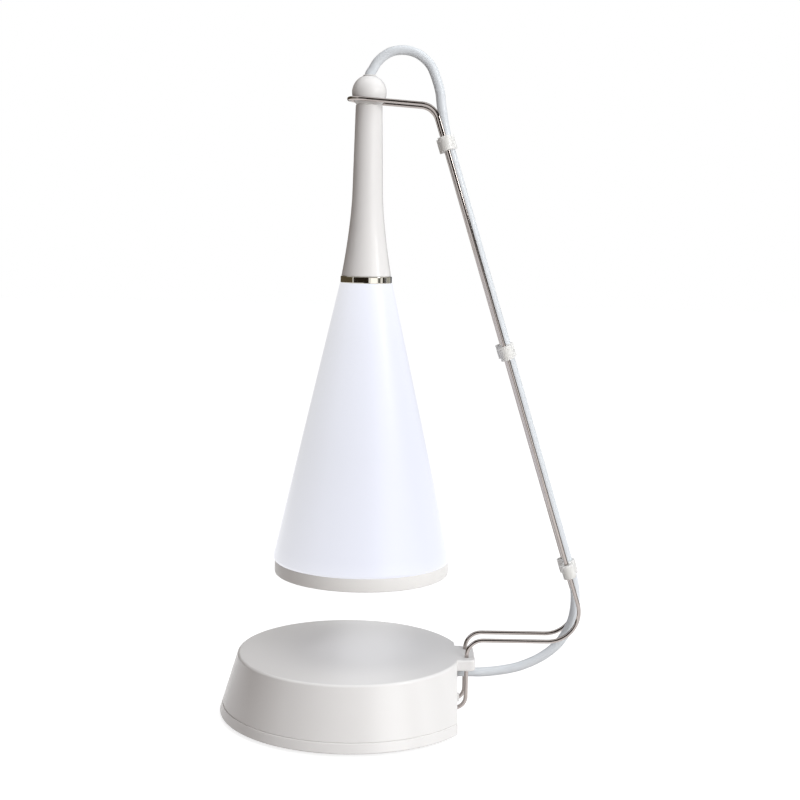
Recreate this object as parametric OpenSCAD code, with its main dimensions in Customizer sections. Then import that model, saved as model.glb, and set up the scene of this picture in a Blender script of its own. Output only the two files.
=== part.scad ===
// Bedside speaker lamp: a bell-shaped light hangs by its ball from a bent wire arm
// that stands on a round base with a loudspeaker inside. Millimetres, +Z up.
// The origin is on the base axis, at the level of the table under the feet.

/* [Base] */
// Radius of the base at its lower edge
base_bottom_r = 65; // [63:0.5:80]
// Radius of the base at its top edge
base_top_r = 56; // [55:0.5:63]
// Height of the base body without its feet
base_h = 30; // [29:0.5:45]
// Distance of the flat back from the base axis
flat_x = 53; // [52:0.5:55]
// Side wall of the upper shell
shell_wall = 2.2; // [1.6:0.1:3]
// Top plate of the upper shell
top_wall = 2.4; // [1.6:0.1:3.4]
// Rounding of the top edge
top_round = 1.6; // [0.6:0.1:3]
// Height of the seam above the lower edge
cover_h = 4.9; // [4.4:0.1:8]
// Floor of the bottom cover
cover_floor = 2; // [1.6:0.1:2.2]
// Height of the cover's lip inside the shell
lip_h = 2; // [1:0.1:4]
// Wall of the cover's lip
lip_wall = 1.6; // [1:0.1:2.4]
// Radius of a rubber foot
foot_r = 6; // [4:0.5:8]
// Height of a rubber foot
foot_h = 1.5; // [1:0.1:4]
// Distance of the outer feet from the base axis
foot_circle_r = 45; // [36:0.5:46]
// Radius of a screw boss in the shell
boss_r = 4; // [3.2:0.1:4.6]

/* [Lug] */
// Reach of the lug from the flat back
lug_reach = 9.5; // [7.5:0.1:14]
// Thickness of the lug
lug_h = 5.5; // [3:0.1:6]
// Width of the lug along the flat back
lug_w = 26; // [22:0.5:40]
// Drop of the lug below the top plate
lug_drop = 0.6; // [0:0.1:2]
// Corner rounding of the lug
lug_corner_r = 3; // [1:0.1:4]

/* [Arm] */
// Radius of the wire
wire_r = 1; // [0.9:0.05:1.2]
// Distance between the two wires at the loop, centre to centre
loop_pitch = 17.4; // [16.6:0.1:18]
// Distance between the two wires in the base, centre to centre
foot_pitch = 14; // [12:0.1:16.6]
// Distance of the upright wires from the flat back
leg_gap = 5.3; // [4.5:0.1:6.5]
// Height of the lower run above the base top
run_rise = 8.1; // [8:0.1:30]
// Where the lower run would meet the slope
arm_low_x = 119; // [110:0.5:150]
// Where the slope would meet the top run
arm_top_x = 36.4; // [30:0.1:60]
// Height where the slope would meet the top run
arm_top_z = 301.1; // [290:0.1:360]
// Rise of the top run from there to the loop
top_run_rise = 2.1; // [0:0.1:4]
// Bend from the base floor into the uprights
foot_bend_r = 6; // [4.5:0.1:6]
// Bend from the uprights into the lower run
lug_bend_r = 8; // [4:0.5:8]
// Bend from the lower run into the slope
low_bend_r = 15; // [8:0.5:24]
// Bend from the slope into the top run
top_bend_r = 9; // [6:0.5:18]
// How far the end loop is centred past the bell axis
loop_past = 0.9; // [0.5:0.1:4]
// Length of wire clamped inside the base
wire_tail = 20; // [16:0.5:22]

/* [Clips] */
// Distances of the clips down the slope from its upper corner
clip_places = [18.8, 123.4, 236.4];
// Length of a clip along the wires
clip_len = 6.8; // [5:0.1:10]
// Wall of a clip around a wire
clip_wall = 2.1; // [1:0.1:2.4]
// Wall of a clip around the cable
clip_cable_wall = 1; // [0.8:0.1:1.6]
// Thickness of the web between the wires
clip_web = 3.2; // [2:0.1:4.4]
// Width of the snap openings
clip_slit = 1.5; // [0.8:0.1:1.8]

/* [Cable] */
// Diameter of the cable
cable_d = 4.6; // [3.6:0.1:4.8]
// Height of the cable's arch over the middle of the ball
arch_rise = 20.4; // [19:0.1:30]
// Distance of the cable outside the plane of the wires
cable_offset = 1.6; // [1.5:0.05:1.7]

/* [Bell] */
// Distance of the bell axis from the base axis
bell_x = 5; // [3:0.5:7]
// Radius of the ball
ball_r = 8.3; // [8:0.1:9]
// Depth of the ball's lower flat below its centre
ball_flat = 5.8; // [5:0.1:6.4]
// Height of the ball's top flat above its centre
ball_crown = 7.7; // [7.2:0.05:7.8]
// Length of the neck
neck_len = 82; // [70:1:110]
// Radius of the neck at its top
neck_top_r = 6.4; // [6:0.05:6.6]
// Radius the neck gains by its even taper
neck_taper = 1.9; // [1.5:0.1:2.4]
// Radius the neck gains by its flare
neck_flare = 3.8; // [3.4:0.1:4.1]
// Height of the flare above the ring
flare_h = 40; // [30:1:50]
// Wall of the neck
neck_wall = 2.2; // [1.8:0.1:2.4]
// Length of the thick upper part of the neck
neck_bore_len = 24; // [16:1:30]
// Radius of the spigot below the neck
spigot_r = 10.6; // [10.2:0.1:11]
// Wall of the spigot
spigot_wall = 3.2; // [2.8:0.1:4]
// Height of the bright ring
ring_h = 3.4; // [2:0.1:6]
// Radius of the bright ring
ring_r = 12.5; // [12.3:0.1:13.4]
// Length of the shade
shade_len = 137; // [110:1:160]
// Radius of the shade at its top
shade_top_r = 12.7; // [12.6:0.1:14]
// Radius of the shade at its lower edge
shade_bottom_r = 44.2; // [43.8:0.1:48]
// Wall of the shade
shade_wall = 2; // [1.4:0.1:2.2]
// Thickness of the flange at the top of the shade
shade_flange = 2.5; // [1.5:0.1:4]
// Rounding of the shade's lower edge
shade_round = 1.4; // [0.6:0.1:1.6]
// How far the rim lies inside the shade's lower edge
rim_inset = 1; // [0.6:0.1:1.4]
// Height of the rim
rim_h = 6.6; // [4:0.1:12]
// Height of the rim's collar inside the shade
rim_collar_h = 4; // [2:0.1:6]
// Wall of the rim's collar
rim_collar_wall = 1.1; // [0.8:0.1:2]
// Ledge that carries the lens
lens_ledge = 1.1; // [0.8:0.1:2]
// Thickness of the lens
lens_t = 2; // [1:0.1:3]

/* [Light] */
// Thickness of the aluminium holder
holder_t = 3; // [2:0.1:6]
// Thickness of the light's circuit board
led_board_t = 1.2; // [0.8:0.1:2]
// Number of light chips
led_count = 6; // [4:1:8]
// Side of a light chip
led_side = 3; // [2:0.1:3.4]
// Height of a light chip
led_t = 0.8; // [0.5:0.1:1.5]
// Radius of the threaded tube between ball and neck
nipple_r = 3.2; // [3:0.05:3.3]
// Radius of the hole in that tube
nipple_hole_r = 1.8; // [1.6:0.05:2.2]
// Radius of the lead inside the bell
lead_r = 1.4; // [1:0.05:1.5]
// Height of the nut on that tube
nut_h = 4; // [3:0.1:6]

/* [Speaker] */
// Radius of the speaker flange
speaker_r = 29; // [28:0.5:30]
// Radius of the cone's opening
cone_r = 20; // [16:0.5:20.5]
// Depth of the basket
basket_h = 11.4; // [10.4:0.1:12]
// Radius of the magnet
magnet_r = 16; // [14:0.5:20]
// Height of the magnet
magnet_h = 6; // [4:0.1:6.4]
// Thickness of the yoke's back plate
yoke_t = 2; // [1:0.1:2.2]
// Radius of the pole in the voice coil
pole_r = 6; // [5:0.1:6.4]
// Height of the seat under the speaker
speaker_seat_h = 3; // [2.4:0.1:3.4]
// Thickness of the speaker gasket
gasket_t = 0.8; // [0.5:0.1:1.2]
// Number of sound slots
slot_count = 16; // [8:1:20]
// Width of a sound slot
slot_w = 2; // [1.2:0.1:2.4]

/* [Electronics] */
// Depth of the sockets between board and flat back
socket_depth = 12; // [11:0.1:13]
// Thickness of the main board
board_t = 1.6; // [1:0.1:2]
// Height of the sockets above the table
socket_z = 15; // [14.6:0.1:16]
// Radius of the audio jack's bore
jack_bore_r = 1.8; // [1.75:0.05:1.9]
// Travel of the slide switch to each side
switch_travel = 2; // [1:0.1:2.4]
// Length of the battery
battery_l = 44; // [30:1:46]
// Height of the battery
battery_h = 8; // [5:0.5:12]
// Thickness of the steel ballast
ballast_t = 8; // [3:0.1:12]

/* [Fits] */
// Gap between the ball and the wires it rests on
seat_gap = 0.2; // [0.1:0.05:0.4]
// Gap around parts that are pushed together
push_gap = 0.15; // [0.1:0.05:0.25]
// Gap around screws and threads
thread_gap = 0.05; // [0.02:0.01:0.1]
// Gap between parts that stand side by side
side_gap = 1.5; // [1:0.1:2]
// Gap around parts that slide or turn
run_gap = 0.05; // [0.02:0.01:0.1]

/* [Hidden] */
$fn = 64;
big = 400;
cable_r = cable_d / 2;

// Heights in the base
floor_z = foot_h + cover_floor;
seam_z = foot_h + cover_h;
top_z = foot_h + base_h;
ceiling_z = top_z - top_wall;
wall_tilt = atan((base_bottom_r - base_top_r) / base_h);
inner_flat_x = flat_x - shell_wall;
lip_r = base_r(seam_z + lip_h) - shell_wall - push_gap;
lip_flat_x = inner_flat_x - push_gap;
tray_r = lip_r - lip_wall;
boss_circle_r = base_top_r - shell_wall - boss_r;
boss_places = [for (a = [45:90:315]) boss_circle_r * [cos(a), sin(a)]];

// Screws: shank radius, head radius, head height
m3 = [1.5, 2.8, 1.8];
m2 = [0.9, 1.9, 1.3];
m16 = [0.7, 1.4, 0.9];
head_sink = 0.4;
pilot_depth = 14;
blind_skin = 0.7;

// Side view of one wire, as corners and bend radii; its straights reach a little into the bends,
// where the wire is a little thicker
bend_lap = 0.3;
bend_wire_r = wire_r + 0.02;
wire_z = floor_z + wire_r + push_gap;
leg_x = flat_x + leg_gap;
run_z = top_z + run_rise;
loop_x = bell_x - loop_past;
loop_z = arm_top_z + top_run_rise;
run_tilt = atan(top_run_rise / (arm_top_x - loop_x));
arm_path = [[inner_flat_x - wire_tail, wire_z], [leg_x, wire_z], [leg_x, run_z],
            [arm_low_x, run_z], [arm_top_x, arm_top_z],
            [loop_x, loop_z] + bend_lap * [-cos(run_tilt), sin(run_tilt)]];
arm_bends = [0, foot_bend_r, lug_bend_r, low_bend_r, top_bend_r, 0];
slope_dir = unit(arm_path[3] - arm_path[4]);
slope_lean = atan2(slope_dir[0], -slope_dir[1]);
// The wires stand apart a little more at the loop than in the base
spread = asin((loop_pitch - foot_pitch) / 2 / (loop_z - wire_z));

// Heights in the bell: the ball rests between the two wires
ball_z = loop_z - (bell_x - loop_x) * tan(run_tilt)
    + sqrt(pow(ball_r + wire_r + seat_gap, 2) - pow(loop_pitch / 2, 2)) / cos(run_tilt);
neck_top_z = ball_z - ball_flat;
ring_top_z = neck_top_z - neck_len;
shade_top_z = ring_top_z - ring_h;
shade_bottom_z = shade_top_z - shade_len;
rim_bottom_z = shade_bottom_z - rim_h;
holder_z = shade_top_z - shade_flange;
spigot_len = ring_h + shade_flange;
shade_slope = (shade_bottom_r - shade_top_r) / shade_len;
shade_wall_x = shade_wall * sqrt(1 + shade_slope * shade_slope);
rim_r = shade_bottom_r - rim_inset;
collar_r = shade_bottom_r - shade_wall_x - shade_slope * rim_collar_h - push_gap;
rim_hole_r = collar_r - rim_collar_wall;
lens_r = rim_hole_r - push_gap;
ledge_t = 1.5;
holder_r = shade_top_r + shade_slope * shade_flange - shade_wall_x - push_gap;
led_face_z = holder_z - holder_t - led_board_t;
led_screw_r = spigot_r - spigot_wall / 2;
led_circle_r = (lead_r + led_screw_r - m16[1]) / 2;

// The cable's grommets
grommet_hole_r = cable_r + push_gap;
ball_hole_r = cable_r + 0.5;
ball_cavity_r = nipple_r + thread_gap;
ball_ledge = 2.5;

// Speaker heights: it faces down on a seat on the cover
seat_z = floor_z + speaker_seat_h;
flange_z = seat_z + gasket_t;
flange_t = 1.5;
basket_wall = 1.2;
basket_plate_r = magnet_r + 1;
window_w = 14;
back_hole_r = pole_r + 3;
basket_mouth_r = cone_r + 2.6;
speaker_screw_r = speaker_r - m2[1] - 0.3;
coil_in_r = pole_r + 0.6;
coil_out_r = coil_in_r + 1;
coil_len = 6.5;
cone_edge_z = flange_z + flange_t;
cone_depth = 6.5;
cone_neck_z = cone_edge_z + cone_depth;
cone_t = 0.5;
spider_z = cone_neck_z + cone_t + 0.3;
slot_in_r = foot_r + 2.5;
slot_out_r = cone_r - 0.5;

// Board and sockets behind the flat back
board_face_x = inner_flat_x - socket_depth;
board_back_x = board_face_x - board_t;
board_low_z = 11.2;
board_high_z = 25.6;
board_edges_y = [-27.5, 30];
post_r = 2.4;
post_pilot = 8;
post_places = [[-11, 23], [20, 22.8]];
jack_nose_r = 2.9;
jack_body_r = 3.6;
jack_depth = 13;
charge_w = 9;
charge_h = 3.2;
charge_depth = 7;
switch_knob_w = 3.4;
switch_slot_w = switch_knob_w + 2 * (switch_travel + 0.3);
switch_slot_h = 3.8;
switch_knob_h = switch_slot_h - 4 * run_gap;
switch_slot_depth = 4;
switch_body_w = switch_slot_w + 4;
switch_body_h = 6.4;
socket_gap = side_gap / 2;
charge_y = back_reach(socket_z + charge_h / 2) - charge_w / 2 - socket_gap;
jack_y = charge_y - charge_w / 2 - jack_body_r - socket_gap;
switch_y = switch_body_w / 2 + socket_gap - back_reach(socket_z + switch_body_h / 2);
clamp_x = inner_flat_x - wire_tail / 2;
clamp_l = 10;
clamp_t = 2.5;
clamp_z = wire_z + wire_r + run_gap;
clamp_screw_y = foot_pitch / 2 + wire_r + m3[1] + 2;

// Route of the cable in its plane: over from the ball to the slope, down it and back to the base.
// The points of the arch and of the low bend are shares of their span and rise.
cable_sides = 10;
cable_entry_z = top_z - lug_drop - lug_h - cable_r - 1.9;
cable_end_x = board_face_x + 6.2;
arch_foot = slope_point(clip_places[0] - clip_len / 2 - 0.2);
bend_head = slope_point(clip_places[2] + clip_len);
arch_shape = [[0, 0.17], [0, 0.41], [0.04, 0.535], [0.094, 0.7], [0.168, 0.835], [0.277, 0.958],
              [0.42, 1], [0.545, 0.967], [0.66, 0.862], [0.778, 0.656], [0.845, 0.4], [0.905, 0.05],
              [0.93, -0.29]];
bend_shape = [[1.025, 0.85], [1.025, 0.71], [1, 0.57], [0.955, 0.44], [0.89, 0.32], [0.795, 0.215],
              [0.68, 0.13], [0.535, 0.06], [0.375, 0.02], [0.22, 0], [0.12, 0]];
arch_end = len(arch_shape);
cable_route = concat(
    [for (p = arch_shape) [bell_x + p[0] * (arch_foot[0] - bell_x), ball_z + p[1] * arch_rise]],
    [arch_foot, bend_head],
    [for (p = bend_shape) [flat_x + p[0] * (bend_head[0] - flat_x),
                           cable_entry_z + p[1] * (bend_head[1] - cable_entry_z)]],
    [[cable_end_x, cable_entry_z]]);

function unit(v) = v / norm(v);
function wire_y(z) = foot_pitch / 2 + (z - wire_z) * sin(spread);
function base_r(z) = base_bottom_r - (z - foot_h) * (base_bottom_r - base_top_r) / base_h;
function back_reach(z) = sqrt(pow(base_r(z) - shell_wall, 2) - pow(inner_flat_x, 2));
function neck_r(s) =
    neck_top_r + neck_taper * (1 - s / neck_len) + neck_flare * pow(max(0, 1 - s / flare_h), 1.65);
function basket_in_r(z) =
    basket_mouth_r + (basket_plate_r - basket_wall - basket_mouth_r)
    * (z - flange_z - flange_t) / (basket_h - basket_wall - flange_t);
function slope_point(d) =
    arm_path[4] + slope_dir * d + cable_offset * [-slope_dir[1], slope_dir[0]];
function turn(a, b, c) =
    let (u = unit(b - a), v = unit(c - b)) atan2(u[0] * v[1] - u[1] * v[0], u * v);
function bend_cut(i) =
    i == 0 || i == len(arm_path) - 1 ? 0
    : arm_bends[i] * tan(abs(turn(arm_path[i - 1], arm_path[i], arm_path[i + 1])) / 2);
function arc(r, from, to, steps) =
    [for (k = [0:steps]) let (a = from + (to - from) * k / steps) r * [cos(a), sin(a)]];
function route_dir(i) =
    unit(cable_route[min(i + 1, len(cable_route) - 1)] - cable_route[max(i - 1, 0)]);
function cable_ring(i) =
    let (c = cable_route[i], t = route_dir(i))
    [for (k = [0:cable_sides - 1]) let (a = 360 * k / cable_sides)
        [c[0] + cable_r * cos(a) * t[1], cable_r * sin(a), c[1] - cable_r * cos(a) * t[0]]];

// A circle with one straight side
module d_shape(r, flat) {
    intersection() {
        circle(r);
        translate([-big, -big / 2]) square([big + flat, big]);
    }
}

// Everything behind the flat back
module behind(x) {
    translate([x, -big / 2, -big / 2]) cube([big, big, big]);
}

// A slot with round ends, its long side along Y
module round_slot(w, h) {
    square([h, w - h], center = true);
    for (s = [-1, 1]) translate([0, s * (w - h) / 2]) circle(h / 2);
}

// Turns a drawing in X and Y into one that looks along +X, with its X upwards
module facing_x(x, y, z) {
    translate([x, y, z]) rotate([0, -90, 0]) mirror([0, 0, 1]) children();
}

// A screw, head upwards, the head's underside at the origin
module screw(kind, shank_len) {
    translate([0, 0, -shank_len]) cylinder(h = shank_len, r = kind[0]);
    difference() {
        cylinder(h = kind[2], r = kind[1]);
        for (a = [0, 90]) rotate(a) translate([-kind[1] * 0.6, -kind[0] * 0.2, kind[2] * 0.5])
            cube([kind[1] * 1.2, kind[0] * 0.4, kind[2]]);
    }
}

// Upper shell of the base
module base_shell() {
    color("whitesmoke") difference() {
        union() {
            difference() {
                base_shell_body();
                base_shell_hollow();
            }
            base_shell_bosses();
            board_posts();
            lug();
        }
        back_openings();
        for (s = [-1, 1])
            translate([leg_x, s * wire_y(top_z - lug_drop - lug_h / 2), top_z - lug_drop - lug_h - 1])
                cylinder(h = lug_h + 2, r = wire_r + push_gap);
    }
}

module base_shell_body() {
    corner = top_round * tan((90 - wall_tilt) / 2);
    edge = [for (p = arc(top_round, wall_tilt, 90, 6)) [base_top_r - corner, top_z - top_round] + p];
    difference() {
        rotate_extrude() polygon(concat([[0, seam_z], [base_r(seam_z), seam_z]], edge, [[0, top_z]]));
        behind(flat_x);
    }
}

module base_shell_hollow() {
    low = seam_z - 1;
    difference() {
        rotate_extrude() polygon([[0, low], [base_r(low) - shell_wall, low],
                                  [base_r(ceiling_z) - shell_wall, ceiling_z], [0, ceiling_z]]);
        behind(inner_flat_x);
    }
}

module base_shell_bosses() {
    for (p = boss_places) translate([p[0], p[1], seam_z]) difference() {
        cylinder(h = ceiling_z - seam_z, r = boss_r);
        translate([0, 0, -1]) cylinder(h = pilot_depth + 1, r = m3[0] + thread_gap);
    }
}

module board_posts() {
    for (p = post_places) facing_x(board_face_x, p[0], p[1]) difference() {
        cylinder(h = socket_depth, r = post_r);
        translate([0, 0, -1]) cylinder(h = post_pilot + 1, r = m2[0] + thread_gap);
    }
}

module lug() {
    translate([0, 0, top_z - lug_drop - lug_h]) linear_extrude(lug_h) {
        translate([inner_flat_x, -lug_w / 2]) square([shell_wall + lug_reach - lug_corner_r, lug_w]);
        translate([flat_x, lug_corner_r - lug_w / 2]) square([lug_reach, lug_w - 2 * lug_corner_r]);
        for (s = [-1, 1]) translate([flat_x + lug_reach - lug_corner_r, s * (lug_w / 2 - lug_corner_r)])
            circle(lug_corner_r);
    }
}

module back_openings() {
    x = inner_flat_x - 1;
    depth = shell_wall + 2;
    facing_x(x, 0, cable_entry_z) cylinder(h = depth, r = cable_r + 1);
    facing_x(x, jack_y, socket_z) cylinder(h = depth, r = jack_nose_r + push_gap);
    facing_x(x, charge_y, socket_z) linear_extrude(depth)
        round_slot(charge_w + 2 * push_gap, charge_h + 2 * push_gap);
    facing_x(x, switch_y, socket_z) linear_extrude(depth)
        square([switch_slot_h, switch_slot_w], center = true);
}

// Bottom cover: a tray with a lip, sound slots, a speaker seat and notches for the wires
module base_cover() {
    color("white") difference() {
        union() {
            difference() {
                union() {
                    difference() {
                        rotate_extrude() polygon([[0, foot_h], [base_r(foot_h), foot_h],
                                                  [base_r(seam_z), seam_z], [0, seam_z]]);
                        behind(flat_x);
                    }
                    translate([0, 0, floor_z]) linear_extrude(seam_z + lip_h - floor_z)
                        d_shape(lip_r, lip_flat_x);
                }
                translate([0, 0, floor_z]) linear_extrude(big)
                    d_shape(tray_r, lip_flat_x - lip_wall);
            }
            for (p = boss_places) translate([p[0], p[1], foot_h]) cylinder(h = cover_h, r = boss_r + 0.5);
            translate([0, 0, foot_h]) linear_extrude(cover_floor + speaker_seat_h) difference() {
                circle(speaker_r);
                circle(basket_mouth_r);
            }
            for (s = [-1, 1]) translate([clamp_x, s * clamp_screw_y, foot_h])
                cylinder(h = clamp_z - foot_h, r = m3[1]);
        }
        cover_holes();
    }
}

module cover_holes() {
    for (p = boss_places) translate([p[0], p[1], foot_h - 1]) {
        cylinder(h = big / 10, r = m3[0] + push_gap);
        cylinder(h = m3[2] + head_sink + 1, r = m3[1] + push_gap);
    }
    for (k = [0:slot_count - 1]) rotate(360 * k / slot_count)
        translate([slot_in_r, -slot_w / 2, foot_h - 1])
            cube([slot_out_r - slot_in_r, slot_w, cover_floor + 2]);
    for (a = [45:90:315]) rotate(a) translate([speaker_screw_r, 0, foot_h + blind_skin])
        cylinder(h = big / 10, r = m2[0] + thread_gap);
    for (s = [-1, 1]) {
        translate([clamp_x, s * clamp_screw_y, foot_h + blind_skin])
            cylinder(h = big / 10, r = m3[0] + thread_gap);
        facing_x(inner_flat_x - 3, s * foot_pitch / 2, wire_z) {
            cylinder(h = shell_wall + 4, r = wire_r + push_gap);
            translate([0, -wire_r - push_gap, 0])
                cube([big / 10, 2 * (wire_r + push_gap), shell_wall + 4]);
        }
    }
}

module rubber_feet() {
    color("dimgray") for (p = concat([[0, 0]], [for (a = [0:90:270]) foot_circle_r * [cos(a), sin(a)]]))
        translate([p[0], p[1], 0]) rotate_extrude()
            polygon([[0, 0], [foot_r - 0.5, 0], [foot_r, 0.5], [foot_r, foot_h], [0, foot_h]]);
}

module cover_screws() {
    head_z = foot_h + m3[2] + head_sink;
    color("silver") for (p = boss_places) translate([p[0], p[1], head_z]) mirror([0, 0, 1])
        screw(m3, cover_h + pilot_depth - 6);
}

// Steel weight on the cover, between the bosses on the side away from the arm
module ballast_plate() {
    near_x = speaker_r + side_gap;
    half_w = boss_places[0][1] - boss_r - 3 * side_gap;
    color("gray") translate([0, 0, floor_z]) linear_extrude(ballast_t) intersection() {
        circle(tray_r - side_gap);
        translate([-near_x - tray_r, -half_w]) square([tray_r, 2 * half_w]);
    }
}

module speaker_gasket() {
    color("black") translate([0, 0, seat_z]) linear_extrude(gasket_t) difference() {
        circle(speaker_r);
        circle(basket_mouth_r);
        for (a = [45:90:315]) rotate(a) translate([speaker_screw_r, 0]) circle(m2[0] + push_gap);
    }
}

module speaker_basket() {
    top = flange_z + basket_h;
    color("dimgray") difference() {
        rotate_extrude() polygon([
            [basket_mouth_r, flange_z], [speaker_r, flange_z], [speaker_r, flange_z + flange_t],
            [basket_mouth_r + basket_wall, flange_z + flange_t],
            [basket_plate_r, top - basket_wall], [basket_plate_r, top],
            [back_hole_r, top], [back_hole_r, top - basket_wall],
            [basket_plate_r - basket_wall, top - basket_wall], [basket_mouth_r, flange_z + flange_t]]);
        for (a = [45:90:315]) rotate(a) {
            translate([speaker_screw_r, 0, flange_z - 1])
                cylinder(h = flange_t + 2, r = m2[0] + push_gap);
            rotate(45) translate([basket_plate_r - 1, -window_w / 2, flange_z + flange_t + 1])
                cube([speaker_r, window_w, basket_h - flange_t - basket_wall - 2]);
        }
    }
}

module speaker_magnet() {
    color("darkslategray") translate([0, 0, flange_z + basket_h]) linear_extrude(magnet_h) difference() {
        circle(magnet_r);
        circle(back_hole_r);
    }
}

module speaker_yoke() {
    back_z = flange_z + basket_h + magnet_h;
    color("silver") {
        translate([0, 0, back_z]) cylinder(h = yoke_t, r = magnet_r);
        translate([0, 0, flange_z + basket_h - basket_wall])
            cylinder(h = magnet_h + basket_wall, r = pole_r);
    }
}

module speaker_cone() {
    color("black") rotate_extrude()
        polygon([[cone_r, cone_edge_z], [cone_r, cone_edge_z + cone_t],
                 [coil_out_r + run_gap, cone_neck_z + cone_t], [coil_out_r + run_gap, cone_neck_z]]);
}

module speaker_dust_cap() {
    rim_z = cone_neck_z - 1;
    color("black") rotate_extrude()
        polygon([[0, rim_z - 2.6], [coil_in_r * 0.6, rim_z - 1.9], [coil_out_r, rim_z],
                 [coil_out_r - 0.6, rim_z], [coil_in_r * 0.6, rim_z - 1.4], [0, rim_z - 2.1]]);
}

module voice_coil() {
    color("peru") translate([0, 0, cone_neck_z - 1]) linear_extrude(coil_len) difference() {
        circle(coil_out_r);
        circle(coil_in_r);
    }
}

// Half-round rubber roll between cone and basket
module speaker_surround() {
    mid = (cone_r + basket_mouth_r) / 2;
    roll = (basket_mouth_r - cone_r) / 2 - run_gap;
    color("dimgray") translate([0, 0, cone_edge_z]) rotate_extrude() translate([mid, 0])
        polygon(concat(arc(roll, 180, 360, 12), arc(roll - cone_t, 360, 180, 12)));
}

module speaker_spider() {
    color("burlywood") translate([0, 0, spider_z]) linear_extrude(cone_t) difference() {
        circle(basket_in_r(spider_z + cone_t) - run_gap);
        circle(coil_out_r + run_gap);
    }
}

module speaker_screws() {
    color("silver") for (a = [45:90:315]) rotate(a)
        translate([speaker_screw_r, 0, flange_z + flange_t])
            screw(m2, flange_t + gasket_t + speaker_seat_h);
}

// Main board: stands behind the flat back and carries the sockets
module main_board() {
    color("darkgreen") difference() {
        translate([board_back_x, board_edges_y[0], board_low_z])
            cube([board_t, board_edges_y[1] - board_edges_y[0], board_high_z - board_low_z]);
        for (p = post_places) facing_x(board_back_x - 1, p[0], p[1])
            cylinder(h = board_t + 2, r = m2[0] + push_gap);
    }
}

// Terminal block, amplifier chip and two capacitors on the board
module board_parts() {
    block = [cable_end_x - board_face_x, 9, 7];
    chip = [1.6, 8, 8];
    can_r = 3;
    can_h = 7;
    color("black") {
        translate([board_face_x, -block[1] / 2, cable_entry_z - block[2] / 2]) cube(block);
        translate([board_back_x - chip[0], -chip[1], board_low_z + can_r]) cube(chip);
        for (k = [1, 2]) facing_x(board_back_x - can_h, k * can_r * 3, board_low_z + 2 * can_r)
            cylinder(h = can_h, r = can_r);
    }
}

module board_screws() {
    color("silver") for (p = post_places) translate([board_back_x, p[0], p[1]]) rotate([0, -90, 0])
        screw(m2, board_t + post_pilot - 2);
}

// Battery pack between the speaker and the side of the cover
module battery() {
    corner = 2;
    near_y = speaker_r + side_gap;
    far_y = sqrt(pow(tray_r, 2) - pow(battery_l / 2, 2)) - side_gap;
    width = far_y - near_y;
    color("lightsteelblue") translate([0, -near_y - width / 2, floor_z]) linear_extrude(battery_h) {
        square([battery_l - 2 * corner, width], center = true);
        square([battery_l, width - 2 * corner], center = true);
        for (sx = [-1, 1], sy = [-1, 1])
            translate([sx * (battery_l / 2 - corner), sy * (width / 2 - corner)]) circle(corner);
    }
}

module audio_jack() {
    color("black") difference() {
        union() {
            facing_x(board_face_x, jack_y, socket_z)
                cylinder(h = socket_depth - push_gap, r = jack_body_r);
            facing_x(board_face_x, jack_y, socket_z)
                cylinder(h = socket_depth + shell_wall, r = jack_nose_r);
        }
        facing_x(flat_x - jack_depth, jack_y, socket_z) cylinder(h = jack_depth + 1, r = jack_bore_r);
    }
}

module charge_socket() {
    shell_t = 0.4;
    color("silver") {
        difference() {
            facing_x(board_face_x, charge_y, socket_z) linear_extrude(socket_depth + shell_wall)
                round_slot(charge_w, charge_h);
            facing_x(flat_x - charge_depth, charge_y, socket_z) linear_extrude(charge_depth + 1)
                round_slot(charge_w - 2 * shell_t, charge_h - 2 * shell_t);
        }
        facing_x(flat_x - charge_depth, charge_y, socket_z) linear_extrude(charge_depth - 1)
            square([0.7, charge_w * 0.7], center = true);
    }
}

module switch_body() {
    front_x = inner_flat_x - push_gap;
    color("dimgray") difference() {
        translate([board_face_x, switch_y - switch_body_w / 2, socket_z - switch_body_h / 2])
            cube([front_x - board_face_x, switch_body_w, switch_body_h]);
        facing_x(front_x - switch_slot_depth, switch_y, socket_z) linear_extrude(switch_slot_depth + 1)
            square([switch_slot_h, switch_slot_w], center = true);
    }
}

module switch_knob() {
    back_x = inner_flat_x - switch_slot_depth;
    reach = shell_wall + switch_slot_depth + 1.2;
    color("white") difference() {
        facing_x(back_x, switch_y, socket_z) linear_extrude(reach)
            square([switch_knob_h, switch_knob_w], center = true);
        for (y = [-0.9, 0, 0.9]) facing_x(back_x + reach - 0.3, switch_y + y, socket_z)
            linear_extrude(1) square([switch_knob_h + 1, 0.3], center = true);
    }
}

// One bent wire in its own plane, X to the right and Y up
module bent_wire() {
    last = len(arm_path) - 1;
    for (i = [0:last - 1]) {
        along = unit(arm_path[i + 1] - arm_path[i]);
        from = arm_path[i] + along * max(0, bend_cut(i) - bend_lap);
        to = arm_path[i + 1] - along * max(0, bend_cut(i + 1) - bend_lap);
        translate(from) rotate(atan2(along[1], along[0])) rotate([0, 90, 0])
            cylinder(h = norm(to - from), r = wire_r);
    }
    for (i = [1:last - 1]) {
        along = unit(arm_path[i] - arm_path[i - 1]);
        sweep = turn(arm_path[i - 1], arm_path[i], arm_path[i + 1]);
        side = sign(sweep) * [-along[1], along[0]];
        centre = arm_path[i] - along * bend_cut(i) + side * arm_bends[i];
        translate(centre) rotate(atan2(-side[1], -side[0]) + min(sweep, 0))
            rotate_extrude(angle = abs(sweep)) translate([arm_bends[i], 0]) circle(bend_wire_r);
    }
}

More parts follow.
